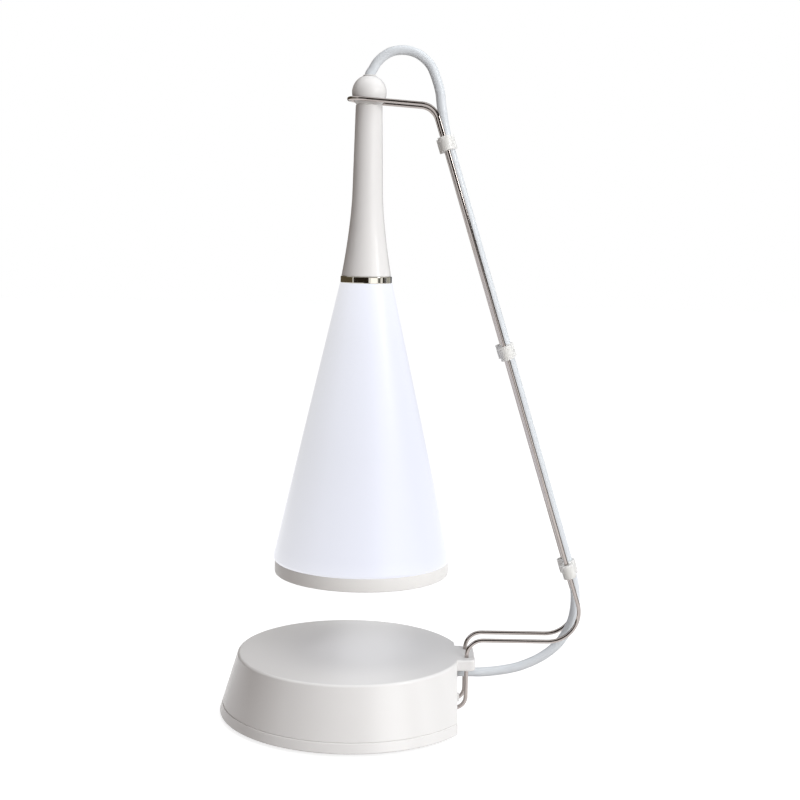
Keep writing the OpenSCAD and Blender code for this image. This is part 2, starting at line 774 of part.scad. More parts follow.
// The arm: two bent wires and the loop that joins them round the neck
module wire_arm() {
    color("silver") {
        for (s = [-1, 1]) translate([0, s * foot_pitch / 2, wire_z]) rotate([90 - s * spread, 0, 0])
            translate([0, -wire_z, 0]) bent_wire();
        translate([loop_x, 0, wire_z + (loop_z - wire_z) * cos(spread)]) rotate([0, run_tilt, 0]) rotate(90)
            rotate_extrude(angle = 180) translate([loop_pitch / 2, 0]) circle(bend_wire_r);
    }
}

module arm_clamp() {
    width = 2 * clamp_screw_y + 2 * m3[1] + 2;
    color("gray") difference() {
        translate([clamp_x - clamp_l / 2, -width / 2, clamp_z]) cube([clamp_l, width, clamp_t]);
        for (s = [-1, 1]) translate([clamp_x, s * clamp_screw_y, clamp_z - 1])
            cylinder(h = clamp_t + 2, r = m3[0] + push_gap);
    }
}

module clamp_screws() {
    color("silver") for (s = [-1, 1]) translate([clamp_x, s * clamp_screw_y, clamp_z + clamp_t])
        screw(m3, clamp_z + clamp_t - foot_h - blind_skin - 0.2);
}

// A clip seen along the wires, X away from the bell
module clip_profile(half_pitch) {
    hole_r = wire_r + push_gap;
    difference() {
        union() {
            for (s = [-1, 1]) translate([0, s * half_pitch]) circle(hole_r + clip_wall);
            square([clip_web, 2 * half_pitch], center = true);
            translate([cable_offset, 0]) circle(grommet_hole_r + clip_cable_wall);
        }
        for (s = [-1, 1]) translate([0, s * half_pitch]) {
            circle(hole_r);
            translate([0, -clip_slit / 2]) square([hole_r + clip_wall + 1, clip_slit]);
        }
        translate([cable_offset, 0]) circle(grommet_hole_r);
        translate([-clip_web, -clip_slit]) square([clip_web + cable_offset, 2 * clip_slit]);
    }
}

module clip(place) {
    p = arm_path[4] + slope_dir * place;
    color("white") translate([p[0], 0, p[1]]) rotate([0, -slope_lean, 0]) translate([0, 0, -clip_len / 2])
        linear_extrude(clip_len) clip_profile(wire_y(p[1]));
}

module clip_upper() {
    clip(clip_places[0]);
}

module clip_middle() {
    clip(clip_places[1]);
}

module clip_lower() {
    clip(clip_places[2]);
}

// The cable between two points of its route
module cable_stretch(first, last) {
    n = cable_sides;
    rings = last - first + 1;
    points = [for (i = [first:last]) each cable_ring(i)];
    sides = [for (i = [0:rings - 2], k = [0:n - 1]) let (a = i * n + k, b = i * n + (k + 1) % n)
        each [[a, a + n, b], [b, a + n, b + n]]];
    start_cap = [for (k = [0:n - 1]) k];
    end_cap = [for (k = [n - 1:-1:0]) (rings - 1) * n + k];
    polyhedron(points, concat(sides, [start_cap, end_cap]));
}

module lamp_cable() {
    color("aliceblue") cable_stretch(arch_end, len(cable_route) - 1);
}

module cable_arch() {
    color("aliceblue") cable_stretch(0, arch_end);
}

// Rubber ring in the flat back, where the cable goes into the base
module base_grommet() {
    groove = cable_r + 1 - push_gap;
    color("white") facing_x(inner_flat_x - 1.2, 0, cable_entry_z) difference() {
        union() {
            cylinder(h = 1.2 - push_gap / 2, r = groove + 0.8);
            cylinder(h = shell_wall + 2.4, r = groove);
            translate([0, 0, shell_wall + 1.2 + push_gap / 2]) cylinder(h = 1.2, r = groove + 0.8);
        }
        translate([0, 0, -1]) cylinder(h = shell_wall + 5, r = grommet_hole_r);
    }
}

// Rubber ring in the top of the ball, fast on the cable
module cable_grommet() {
    lower = ball_crown - ball_ledge;
    upper = ball_crown + 2 * run_gap;
    flange_r = ball_cavity_r - run_gap;
    color("white") translate([bell_x, 0, ball_z]) rotate_extrude()
        polygon([[grommet_hole_r, lower - 1.2], [flange_r, lower - 1.2], [flange_r, lower - 2 * run_gap],
                 [ball_hole_r - run_gap, lower - 2 * run_gap], [ball_hole_r - run_gap, upper],
                 [flange_r, upper], [flange_r, upper + 0.2], [flange_r - 0.4, upper + 0.5],
                 [grommet_hole_r, upper + 0.5]]);
}

module ball_cap() {
    color("white") translate([bell_x, 0, ball_z]) difference() {
        sphere(ball_r);
        translate([0, 0, -ball_flat - ball_r]) cube(2 * ball_r, center = true);
        translate([0, 0, ball_crown]) cylinder(h = ball_r, r = ball_r);
        translate([0, 0, -ball_r]) cylinder(h = ball_r + ball_crown - ball_ledge, r = ball_cavity_r);
        cylinder(h = ball_r, r = ball_hole_r);
    }
}

// Threaded tube that ties ball and neck together
module ball_nipple() {
    low = neck_top_z - neck_bore_len - nut_h - 1.5;
    high = ball_z + 2;
    color("gold") translate([bell_x, 0, low]) difference() {
        cylinder(h = high - low, r = nipple_r);
        translate([0, 0, -1]) cylinder(h = high - low + 2, r = nipple_hole_r);
    }
}

module nipple_nut() {
    color("gold") translate([bell_x, 0, neck_top_z - neck_bore_len - nut_h]) difference() {
        cylinder(h = nut_h, r = nipple_r + 1.2, $fn = 6);
        translate([0, 0, -1]) cylinder(h = nut_h + 2, r = nipple_r + thread_gap);
    }
}

module neck() {
    steps = 24;
    hollow_h = neck_len - neck_bore_len;
    plate = 2;
    outside = [for (k = [0:steps]) let (s = neck_len * k / steps) [neck_r(s), s]];
    inside = [for (k = [0:steps]) let (s = plate + (hollow_h - plate) * k / steps)
        [neck_r(s) - neck_wall, s]];
    color("white") translate([bell_x, 0, ring_top_z]) difference() {
        union() {
            rotate_extrude() polygon(concat([[0, 0]], outside, [[0, neck_len]]));
            translate([0, 0, -spigot_len]) cylinder(h = spigot_len + plate, r = spigot_r);
        }
        rotate_extrude() polygon(concat([[0, plate]], inside, [[0, hollow_h]]));
        translate([0, 0, -spigot_len - 1])
            cylinder(h = spigot_len + plate + 2, r = spigot_r - spigot_wall);
        cylinder(h = neck_len + 1, r = nipple_r + thread_gap);
        for (s = [-1, 1]) translate([s * led_screw_r, 0, -spigot_len - 1])
            cylinder(h = 5, r = m16[0] + thread_gap);
    }
}

module chrome_ring() {
    edge = 0.5;
    hole = spigot_r + push_gap;
    color("lightgray") translate([bell_x, 0, shade_top_z]) rotate_extrude()
        polygon([[hole, 0], [ring_r - edge, 0], [ring_r, edge], [ring_r, ring_h - edge],
                 [ring_r - edge, ring_h], [hole, ring_h]]);
}

module shade() {
    hole = spigot_r + push_gap;
    inner_top = shade_top_r + shade_slope * shade_flange - shade_wall_x;
    corner_middle = [shade_bottom_r - shade_round * (1 + shade_slope), shade_round];
    corner = [for (p = arc(shade_round, 0, -90, 5)) corner_middle + p];
    color("lavender") translate([bell_x, 0, shade_bottom_z]) rotate_extrude()
        polygon(concat([[hole, shade_len], [shade_top_r, shade_len]], corner,
                       [[shade_bottom_r - shade_wall_x, 0], [inner_top, shade_len - shade_flange],
                        [hole, shade_len - shade_flange]]));
}

module rim_ring() {
    edge = 0.8;
    color("gainsboro") translate([bell_x, 0, rim_bottom_z]) rotate_extrude()
        polygon([[rim_hole_r - lens_ledge, 0], [rim_r - edge, 0], [rim_r, edge], [rim_r, rim_h],
                 [collar_r, rim_h], [collar_r, rim_h + rim_collar_h], [rim_hole_r, rim_h + rim_collar_h],
                 [rim_hole_r, ledge_t], [rim_hole_r - lens_ledge, ledge_t]]);
}

module bottom_lens() {
    color("lavender") translate([bell_x, 0, rim_bottom_z + ledge_t]) cylinder(h = lens_t, r = lens_r);
}

module led_holder() {
    color("silver") translate([bell_x, 0, holder_z - holder_t]) linear_extrude(holder_t) difference() {
        circle(holder_r);
        circle(lead_r + 0.3);
        for (s = [-1, 1]) translate([s * led_screw_r, 0]) circle(m16[0] + push_gap);
    }
}

module led_board() {
    color("white") translate([bell_x, 0, led_face_z]) linear_extrude(led_board_t) difference() {
        circle(holder_r - 0.4);
        for (s = [-1, 1]) translate([s * led_screw_r, 0]) circle(m16[0] + push_gap);
    }
}

module led_chips() {
    color("khaki") translate([bell_x, 0, led_face_z - led_t / 2]) for (k = [0:led_count - 1])
        rotate(360 * (k + 0.5) / led_count) translate([led_circle_r + led_side / 2, 0, 0])
            cube([led_side, led_side, led_t], center = true);
}

module led_screws() {
    color("silver") for (s = [-1, 1]) translate([bell_x + s * led_screw_r, 0, led_face_z])
        mirror([0, 0, 1]) screw(m16, holder_t + led_board_t + 3);
}

// Inner lead from the ball down to the light's board
module bell_lead() {
    low = holder_z - holder_t;
    high = ball_z + 3;
    color("lightgray") translate([bell_x, 0, low]) cylinder(h = high - low, r = lead_r);
}

base_shell();
base_cover();
rubber_feet();
cover_screws();
ballast_plate();
speaker_gasket();
speaker_basket();
speaker_magnet();
speaker_yoke();
speaker_cone();
speaker_dust_cap();
voice_coil();
speaker_surround();
speaker_spider();
speaker_screws();
main_board();
board_parts();
board_screws();
battery();
audio_jack();
charge_socket();
switch_body();
switch_knob();
wire_arm();
arm_clamp();
clamp_screws();
clip_upper();
clip_middle();
clip_lower();
lamp_cable();
cable_arch();
base_grommet();
cable_grommet();
ball_cap();
ball_nipple();
nipple_nut();
neck();
chrome_ring();
shade();
rim_ring();
bottom_lens();
led_holder();
led_board();
led_chips();
led_screws();
bell_lead();
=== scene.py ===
import math

import bmesh
import bpy
from mathutils import Matrix, Vector


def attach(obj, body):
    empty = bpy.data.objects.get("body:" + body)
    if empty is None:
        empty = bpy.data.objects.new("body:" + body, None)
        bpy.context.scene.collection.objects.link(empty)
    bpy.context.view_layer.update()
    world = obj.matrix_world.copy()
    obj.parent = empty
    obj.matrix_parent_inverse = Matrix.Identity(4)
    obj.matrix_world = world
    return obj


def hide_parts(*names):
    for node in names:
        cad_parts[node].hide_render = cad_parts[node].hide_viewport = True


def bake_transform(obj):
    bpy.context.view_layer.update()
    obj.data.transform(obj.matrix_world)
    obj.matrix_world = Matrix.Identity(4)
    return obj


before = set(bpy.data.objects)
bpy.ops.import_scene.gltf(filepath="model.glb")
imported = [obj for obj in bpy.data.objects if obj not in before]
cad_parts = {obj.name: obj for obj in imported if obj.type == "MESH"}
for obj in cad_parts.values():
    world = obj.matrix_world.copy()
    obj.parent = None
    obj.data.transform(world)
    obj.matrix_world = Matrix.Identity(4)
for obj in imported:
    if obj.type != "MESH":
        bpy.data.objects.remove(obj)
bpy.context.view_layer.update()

# ---- Camera ------------------------------------------------------------------------------------
# It stands 0.7 m in front of the lamp and a little above its middle, as in the photograph.
# Its lens and its slight lean were worked out from the lamp's own edges.
bpy.context.scene.view_settings.view_transform = "Standard"
bpy.ops.object.select_all(action="DESELECT")
camera_place = (0.015, -0.68498, 0.24016)
yaw, pitch, lean = 0.011158, -0.11847, 0.019789
ahead = Vector((math.sin(yaw) * math.cos(pitch), math.cos(yaw) * math.cos(pitch), math.sin(pitch)))
right = Vector((math.cos(yaw), -math.sin(yaw), 0))
above = right.cross(ahead)
bpy.ops.object.camera_add()
camera = bpy.context.object
camera.name = "camera"
camera.data.lens = 63
camera.data.sensor_width = 36
camera_axes = Matrix((right * math.cos(lean) + above * math.sin(lean),
                      above * math.cos(lean) - right * math.sin(lean), -ahead)).transposed()
camera.matrix_world = Matrix.Translation(camera_place) @ camera_axes.to_4x4()
bpy.context.scene.camera = camera

# ---- Table and studio --------------------------------------------------------------------------
# A wide white table that keeps a faint shadow, in a white room. The light is soft: a large softbox
# at the front right, a weak one overhead, and the room's own glow, dimmer and warmer on the left.


def paint(colour):
    """A written sRGB colour as the linear one that the shaders take."""
    parts = [int(colour[i:i + 2], 16) / 255 for i in (1, 3, 5)]
    return [c / 12.92 if c <= 0.04045 else ((c + 0.055) / 1.055) ** 2.4 for c in parts] + [1]


def add_node(tree, kind, inputs=(), **settings):
    """A node with its settings; an input takes a value or the output of another node."""
    node = tree.nodes.new(kind)
    for name, value in settings.items():
        setattr(node, name, value)
    for socket, value in dict(inputs).items():
        if isinstance(value, bpy.types.NodeSocket):
            tree.links.new(value, node.inputs[socket])
        else:
            node.inputs[socket].default_value = value
    return node


def seen_directly(tree):
    """1 where the camera looks, or a mirror or clear piece shows what the camera would see, else 0."""
    ray = add_node(tree, "ShaderNodeLightPath").outputs
    mirrored = add_node(tree, "ShaderNodeMath", {0: ray["Is Camera Ray"], 1: ray["Is Glossy Ray"]},
                        operation="MAXIMUM")
    return add_node(tree, "ShaderNodeMath", {0: mirrored.outputs[0], 1: ray["Is Transmission Ray"]},
                    operation="MAXIMUM").outputs[0]


bpy.ops.object.select_all(action="DESELECT")
bpy.ops.mesh.primitive_plane_add(size=8)
table = bpy.context.object
table.name = "table"
table_white = bpy.data.materials.new("white_table")
table_white.use_nodes = True
tree = table_white.node_tree
tree.nodes.clear()
glow = add_node(tree, "ShaderNodeEmission", {"Color": paint("#FFFFFF"), "Strength": 0.8})
lit = add_node(tree, "ShaderNodeBsdfDiffuse", {"Color": (0.4, 0.4, 0.4, 1)})
both = add_node(tree, "ShaderNodeAddShader", {0: glow.outputs[0], 1: lit.outputs[0]})
plain = add_node(tree, "ShaderNodeBsdfDiffuse", {"Color": paint("#ADA7A3")})
top = add_node(tree, "ShaderNodeMixShader", {0: seen_directly(tree), 1: plain.outputs[0], 2: both.outputs[0]})
add_node(tree, "ShaderNodeOutputMaterial", {"Surface": top.outputs[0]})
table.data.materials.append(table_white)

room = bpy.data.worlds.new("white_room")
bpy.context.scene.world = room
room.use_nodes = True
tree = room.node_tree
tree.nodes.clear()
way = add_node(tree, "ShaderNodeSeparateXYZ", {0: add_node(tree, "ShaderNodeTexCoord").outputs["Generated"]})
across = add_node(tree, "ShaderNodeMapRange", {"Value": way.outputs["X"], "From Min": -1, "From Max": 1})
side_glow = add_node(tree, "ShaderNodeMix", {"Factor": across.outputs[0], "A": (0.04, 0.01, 0, 1),
                                             "B": (1.03, 1.05, 1.07, 1)}, data_type="RGBA")
backdrop = add_node(tree, "ShaderNodeBackground", {"Color": (1, 1, 1, 1), "Strength": 1})
soft_glow = add_node(tree, "ShaderNodeBackground", {"Color": side_glow.outputs["Result"], "Strength": 1})
room_mix = add_node(tree, "ShaderNodeMixShader", {0: seen_directly(tree), 1: soft_glow.outputs[0],
                                                  2: backdrop.outputs[0]})
add_node(tree, "ShaderNodeOutputWorld", {"Surface": room_mix.outputs[0]})

for name, place, aim, size, power in (
        ("softbox_right", (0.88, -1.05, 0.6), (0.03, 0, 0.15), 0.7, 11.2),
        ("softbox_overhead", (-0.1, -0.25, 1.5), (0.03, 0, 0.1), 0.9, 5)):
    bpy.ops.object.light_add(type="AREA", location=place)
    softbox = bpy.context.object
    softbox.name = name
    softbox.data.size = size
    softbox.data.energy = power
    softbox.visible_glossy = False
    softbox.rotation_euler = (Vector(aim) - Vector(place)).to_track_quat("-Z", "Y").to_euler()

# Cloth flags, a white card and a small window stand in a ring round the lamp, where only shiny
# surfaces see them. They draw the strips on the wires and the bright ring and the gleam on the ball.
# Each has its bearings in degrees from the front, its foot, head and distance, its tone and strength.
for name, start, end, foot, head, distance, tone, strength in (
        ("flag_left", -180, -60, -0.3, 1.3, 1.3, "#5B5240", 1),
        ("flag_front", -58, 13, -0.3, 2.6, 1.3, "#2A241D", 1),
        ("flag_low_front", -10, 20, 0, 0.15, 0.5, "#2A241D", 1),
        ("white_card", 20, 53, -0.3, 0.3, 1.3, "#FFFFFF", 1.55),
        ("flag_over_card", 14, 77, 0.34, 1.3, 1.3, "#1C1814", 1),
        ("flag_beside_card", 55, 70, -0.3, 0.33, 1.3, "#74746E", 1),
        ("window", 55, 69, 0.56, 0.78, 1.2, "#FFFFFF", 14),
        ("flag_right", 78, 106, -0.3, 1.3, 1.3, "#2A2A26", 1),
        ("flag_behind", 108, 136, -0.3, 1.3, 1.3, "#B4B4AE", 1),
        ("flag_far_behind", 138, 178, -0.3, 1.3, 1.3, "#4E5054", 1)):
    cloth = bpy.data.materials.new(name + "_cloth")
    cloth.use_nodes = True
    tree = cloth.node_tree
    tree.nodes.clear()
    dim = add_node(tree, "ShaderNodeEmission", {"Color": paint(tone), "Strength": strength})
    add_node(tree, "ShaderNodeOutputMaterial", {"Surface": dim.outputs[0]})
    bpy.ops.object.select_all(action="DESELECT")
    bpy.ops.mesh.primitive_circle_add(vertices=180, radius=distance, location=(0, 0, foot))
    flag = bpy.context.object
    flag.name = name
    bpy.ops.object.transform_apply()
    bpy.ops.object.mode_set(mode="EDIT")
    bpy.ops.mesh.select_all(action="DESELECT")
    shape = bmesh.from_edit_mesh(flag.data)
    for corner in shape.verts:
        corner.select_set(not start <= math.degrees(math.atan2(corner.co.x, -corner.co.y)) <= end)
    bmesh.update_edit_mesh(flag.data)
    bpy.ops.mesh.delete(type="VERT")
    bpy.ops.mesh.select_all(action="SELECT")
    bpy.ops.mesh.extrude_region_move(TRANSFORM_OT_translate={"value": (0, 0, head - foot)})
    bpy.ops.object.mode_set(mode="OBJECT")
    flag.visible_camera = flag.visible_diffuse = flag.visible_shadow = flag.visible_transmission = False
    flag.data.materials.append(cloth)

# ---- Base cover --------------------------------------------------------------------------------
# The lower half of the base: a shallow tray with a lip that the shell slides over, a star of sound
# slots under the loudspeaker and notches for the wires. Injection-moulded glossy white ABS.
mm = 0.001
base_sides = 224
back_x, lip_back_x, tray_back_x = 53, 50.65, 49.05
screw_at = 35.214
clamp_x, clamp_y = 40.8, 12.8
wire_y, wire_z, wire_bore = 7, 4.65, 1.15


def only(piece):
    """Makes a piece the selected and active one."""
    bpy.ops.object.select_all(action="DESELECT")
    piece.select_set(True)
    bpy.context.view_layer.objects.active = piece


def turned(name, x, rings, hollow=False, sides=160):
    """A turned piece: a circle drawn out ring by ring, each ring (radius, height) in millimetres. Its
    two ends are closed with flat faces, or joined to each other where the piece is hollow."""
    bpy.ops.object.select_all(action="DESELECT")
    radius, height = rings[0]
    bpy.ops.mesh.primitive_circle_add(vertices=sides, radius=radius * mm, location=(x * mm, 0, height * mm))
    piece = bpy.context.object
    piece.name = piece.data.name = name
    bpy.ops.object.transform_apply()
    bpy.ops.object.mode_set(mode="EDIT")
    bpy.ops.mesh.select_all(action="SELECT")
    for next_radius, next_height in rings[1:]:
        bpy.ops.mesh.extrude_region_move(
            TRANSFORM_OT_translate={"value": (0, 0, (next_height - height) * mm)})
        grow = next_radius / radius
        bpy.ops.transform.resize(value=(grow, grow, 1), center_override=(x * mm, 0, next_height * mm))
        radius, height = next_radius, next_height
    bpy.ops.mesh.select_mode(type="EDGE")
    bpy.ops.mesh.select_all(action="DESELECT")
    bpy.ops.mesh.select_non_manifold()
    if hollow:
        bpy.ops.mesh.bridge_edge_loops()
    else:
        bpy.ops.mesh.fill_holes(sides=0)
    bpy.ops.mesh.select_all(action="SELECT")
    bpy.ops.mesh.normals_make_consistent(inside=False)
    bpy.ops.object.mode_set(mode="OBJECT")
    bpy.ops.object.shade_smooth_by_angle(angle=math.radians(30))
    return piece


def pick(piece, edges=None, faces=None):
    """In edit mode, selects the edges or faces that pass a test of their place or normal."""
    bpy.ops.mesh.select_mode(type="EDGE" if edges else "FACE")
    bpy.ops.mesh.select_all(action="DESELECT")
    shape = bmesh.from_edit_mesh(piece.data)
    for part in shape.edges if edges else shape.faces:
        part.select_set((edges or faces)(part))
    shape.select_flush_mode()
    bmesh.update_edit_mesh(piece.data)


def soften(piece, radius, segments, edges):
    """Rounds the edges of a piece that pass a test, with a radius in millimetres."""
    only(piece)
    bpy.ops.object.mode_set(mode="EDIT")
    pick(piece, edges=edges)
    bpy.ops.mesh.bevel(offset=radius * mm, segments=segments, affect="EDGES")
    bpy.ops.object.mode_set(mode="OBJECT")


def slice_back(piece, x):
    """Cuts a piece off flat behind x and closes the cut."""
    only(piece)
    bpy.ops.object.mode_set(mode="EDIT")
    bpy.ops.mesh.select_all(action="SELECT")
    bpy.ops.mesh.bisect(plane_co=(x * mm, 0, 0), plane_no=(1, 0, 0), use_fill=True, clear_outer=True)
    bpy.ops.object.mode_set(mode="OBJECT")
    return piece


def modify(piece, kind, **settings):
    """Gives a piece a modifier with these settings and applies it."""
    only(piece)
    bpy.ops.object.modifier_add(type=kind)
    modifier = piece.modifiers[-1]
    for name, value in settings.items():
        setattr(modifier, name, value)
    bpy.ops.object.modifier_apply(modifier=modifier.name)


def cut(piece, tool, how):
    """Joins a second shape to a piece or cuts it out of it, and clears the second shape away."""
    modify(piece, "BOOLEAN", operation=how, object=tool, solver="EXACT")
    only(tool)
    bpy.ops.object.delete()


def block(name, low, high, round_along=None, edge=0):
    """A block between two corners in millimetres; the edges along one axis may be rounded."""
    bpy.ops.object.select_all(action="DESELECT")
    low, high = Vector(low) * mm, Vector(high) * mm
    bpy.ops.mesh.primitive_cube_add(size=1, location=(low + high) / 2, scale=high - low)
    bpy.ops.object.transform_apply()
    piece = bpy.context.object
    piece.name = piece.data.name = name
    if round_along:
        way = "XYZ".index(round_along)
        soften(piece, edge, 8, lambda e: abs(e.verts[0].co[way] - e.verts[1].co[way]) > 1e-5)
    return piece


def rod(name, middle, radius, length, axis="Z"):
    """A round rod about its middle, in millimetres, used to cut a hole or to start a boss."""
    bpy.ops.object.select_all(action="DESELECT")
    bpy.ops.mesh.primitive_cylinder_add(vertices=48, radius=radius * mm, depth=length * mm,
                                        location=Vector(middle) * mm,
                                        rotation=(0, math.pi / 2 if axis == "X" else 0, 0))
    bpy.ops.object.transform_apply()
    bpy.context.object.name = name
    return bpy.context.object


def copies_round(piece, count):
    """A piece and its copies, each with a mesh of its own, spaced evenly round the middle of the base."""
    pieces = [piece]
    for k in range(1, count):
        only(piece)
        bpy.ops.object.duplicate()
        bpy.ops.transform.rotate(value=math.tau * k / count, orient_axis="Z", center_override=(0, 0, 0))
        bpy.ops.object.transform_apply()
        pieces.append(bpy.context.object)
    return pieces


def ring_of(piece, count):
    """Copies a piece round the middle of the base and joins the copies to it."""
    copies = copies_round(piece, count)
    only(piece)
    for copy in copies:
        copy.select_set(True)
    bpy.ops.object.join()
    return piece


def crisp(piece):
    """Shades the rounded edges smoothly and keeps the large flat faces flat."""
    only(piece)
    bpy.ops.object.shade_smooth_by_angle(angle=math.radians(30))
    modify(piece, "WEIGHTED_NORMAL", keep_sharp=True)


def bare_finish(name):
    """A new material with its node tree, its shader and the place on the piece that patterns follow."""
    finish = bpy.data.materials.new(name)
    finish.use_nodes = True
    tree = finish.node_tree
    place = add_node(tree, "ShaderNodeTexCoord").outputs["Object"]
    return finish, tree, tree.nodes["Principled BSDF"], place


def moulded(name, light, dark, roughness, cloud_mm, skin_mm, skin_depth_mm):
    """A moulded plastic or rubber: two near tones in soft clouds where the melt flowed, a gloss that
    varies with them, and the fine skin that the mould leaves."""
    finish, tree, shader, place = bare_finish(name)
    shader.inputs["IOR"].default_value = 1.53
    clouds = add_node(tree, "ShaderNodeTexNoise", {"Vector": place, "Scale": 1 / (cloud_mm * mm),
                                                   "Detail": 3}).outputs["Fac"]
    tone = add_node(tree, "ShaderNodeMix", {"Factor": clouds, "A": paint(light), "B": paint(dark)},
                    data_type="RGBA")
    gloss = add_node(tree, "ShaderNodeMapRange", {"Value": clouds, "To Min": roughness * 0.85,
                                                  "To Max": roughness * 1.15})
    skin = add_node(tree, "ShaderNodeTexNoise", {"Vector": place, "Scale": 1 / (skin_mm * mm), "Detail": 2})
    bump = add_node(tree, "ShaderNodeBump", {"Height": skin.outputs["Fac"], "Strength": 1,
                                             "Distance": skin_depth_mm * mm})
    for socket, source in (("Base Color", tone.outputs["Result"]), ("Roughness", gloss.outputs["Result"]),
                           ("Normal", bump.outputs["Normal"])):
        tree.links.new(source, shader.inputs[socket])
    return finish


def fit(piece, finish, slot, body, *stands_for):
    """Gives a finished piece its material and puts it on its body in place of the plain solid."""
    piece.data.materials.clear()
    piece.data.materials.append(finish)
    if body:
        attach(piece, body)
    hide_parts(*stands_for)


cover = slice_back(turned("base_cover_tray", 0, [
    (40, 6.4), (63.2, 6.4), (63.6, 6.1), (64.8, 2.1), (64.6, 1.7), (64.1, 1.5), (40, 1.5)],
    sides=base_sides), back_x)
soften(cover, 0.4, 3, lambda e: all(abs(v.co.x - back_x * mm) < 1e-6 for v in e.verts)
       and any(v.co.z < 6.3 * mm for v in e.verts))
lip = turned("lip", 0, [(60.58, 3.6), (60.58, 8.1), (60.28, 8.4)], sides=base_sides)
cut(cover, slice_back(lip, lip_back_x), "UNION")
tray = turned("tray", 0, [(58.98, 3.5), (58.98, 12)], sides=base_sides)
cut(cover, slice_back(tray, tray_back_x), "DIFFERENCE")
cut(cover, turned("speaker_seat", 0, [(22.6, 3), (29, 3), (29, 6.5), (22.6, 6.5)], hollow=True), "UNION")
cut(cover, ring_of(rod("screw_boss", (screw_at, screw_at, 4.7), 4.5, 3.4), 4), "UNION")
cut(cover, ring_of(rod("screw_hole", (screw_at, screw_at, 5), 1.65, 10), 4), "DIFFERENCE")
cut(cover, ring_of(rod("screw_well", (screw_at, screw_at, 1.7), 2.95, 4), 4), "DIFFERENCE")
cut(cover, ring_of(rod("speaker_screw_hole", (18.067, 18.067, 5), 0.95, 5.6), 4), "DIFFERENCE")
cut(cover, ring_of(block("sound_slot", (8.5, -1, 0), (19.5, 1, 5), "Z", 0.97), 16), "DIFFERENCE")
for side in (-1, 1):
    cut(cover, rod("clamp_boss", (clamp_x, side * clamp_y, 4.5), 2.8, 2.4), "UNION")
    cut(cover, rod("clamp_screw_hole", (clamp_x, side * clamp_y, 7.2), 1.55, 10), "DIFFERENCE")
    cut(cover, rod("wire_groove", (51.4, side * wire_y, wire_z), wire_bore, 7.2, "X"), "DIFFERENCE")
    cut(cover, block("wire_notch", (47.8, side * wire_y - wire_bore, wire_z),
                     (55, side * wire_y + wire_bore, 12)), "DIFFERENCE")
crisp(cover)
gloss_white = moulded("glossy_white_abs", "#E9E8E7", "#E5E4E3", 0.22, 40, 1.1, 0.0025)
fit(cover, gloss_white, "white_gloss", "base", "base_cover")

# ---- Rubber feet -------------------------------------------------------------------------------
# Round grey rubber pads, stuck into the cover so that the lamp neither slides nor hums.
# Moulded matt, with a shallow dish below, and a little dust in the skin.
pad = [(3, 0.25), (4.6, 0.22), (5.2, 0), (5.6, 0.06), (5.85, 0.2), (6, 0.5), (6, 1.5), (3, 1.5)]
feet = ring_of(turned("rubber_pads", 45, pad, sides=64), 4)
turned("middle_pad", 0, pad, sides=64)
feet.select_set(True)
bpy.context.view_layer.objects.active = feet
bpy.ops.object.join()
rubber = moulded("grey_moulded_rubber", "#55565A", "#494A4D", 0.75, 3, 0.35, 0.02)
fit(feet, rubber, "grey_rubber", "base", "rubber_feet")

# ---- Screws, weight and clamp ------------------------------------------------------------------
# Zinc-plated steel: cross-head screws, the weight that keeps the lamp from tipping towards its bell,
# and the plate that clamps the wires to the cover. Bright, with the cloudy spangle of plated steel.


def metal(name, light, dark, smooth, rough, grain_mm, grain_depth_mm):
    """A bare or plated metal: cloudy tint and gloss in one grain size, and a little unevenness."""
    finish, tree, shader, place = bare_finish(name)
    shader.inputs["Metallic"].default_value = 1
    grain = add_node(tree, "ShaderNodeTexNoise", {"Vector": place, "Scale": 1 / (grain_mm * mm), "Detail": 5,
                                                  "Roughness": 0.65}).outputs["Fac"]
    tint = add_node(tree, "ShaderNodeMix", {"Factor": grain, "A": paint(light), "B": paint(dark)},
                    data_type="RGBA")
    gloss = add_node(tree, "ShaderNodeMapRange", {"Value": grain, "From Min": 0.3, "From Max": 0.7,
                                                  "To Min": smooth, "To Max": rough})
    uneven = add_node(tree, "ShaderNodeBump", {"Height": grain, "Strength": 1,
                                               "Distance": grain_depth_mm * mm})
    for socket, source in (("Base Color", tint.outputs["Result"]), ("Roughness", gloss.outputs["Result"]),
                           ("Normal", uneven.outputs["Normal"])):
        tree.links.new(source, shader.inputs[socket])
    return finish


def dress(finish, *nodes):
    """Gives solids whose own shape is right a better material."""
    for node in nodes:
        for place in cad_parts[node].material_slots:
            place.material = finish


screw_zinc = metal("zinc_plated_screw_steel", "#C9CCD2", "#B4B8BE", 0.29, 0.42, 0.8, 0.004)
plain_steel = metal("cold_rolled_steel", "#A9ABB0", "#8F9196", 0.3, 0.5, 5, 0.006)
dress(screw_zinc, "cover_screws", "speaker_screws", "board_screws", "clamp_screws", "led_screws")
dress(plain_steel, "ballast_plate", "arm_clamp", "speaker_yoke")

# ---- Loudspeaker -------------------------------------------------------------------------------
# A small full-range loudspeaker that looks down through the slots: black-painted steel basket, ferrite
# magnet, pressed paper cone with a rubber roll, copper coil and a resin-dipped cloth spider.
black_paint = moulded("black_stoved_paint", "#26262A", "#1D1D20", 0.42, 8, 0.5, 0.008)
ferrite = moulded("sintered_ferrite", "#3A3B40", "#2D2E32", 0.6, 4, 0.25, 0.015)
foam = moulded("black_foam_gasket", "#1E1E20", "#141416", 0.9, 1.5, 0.6, 0.12)
dress(black_paint, "speaker_basket")
dress(ferrite, "speaker_magnet")
dress(foam, "speaker_gasket")
dress(rubber, "speaker_surround")

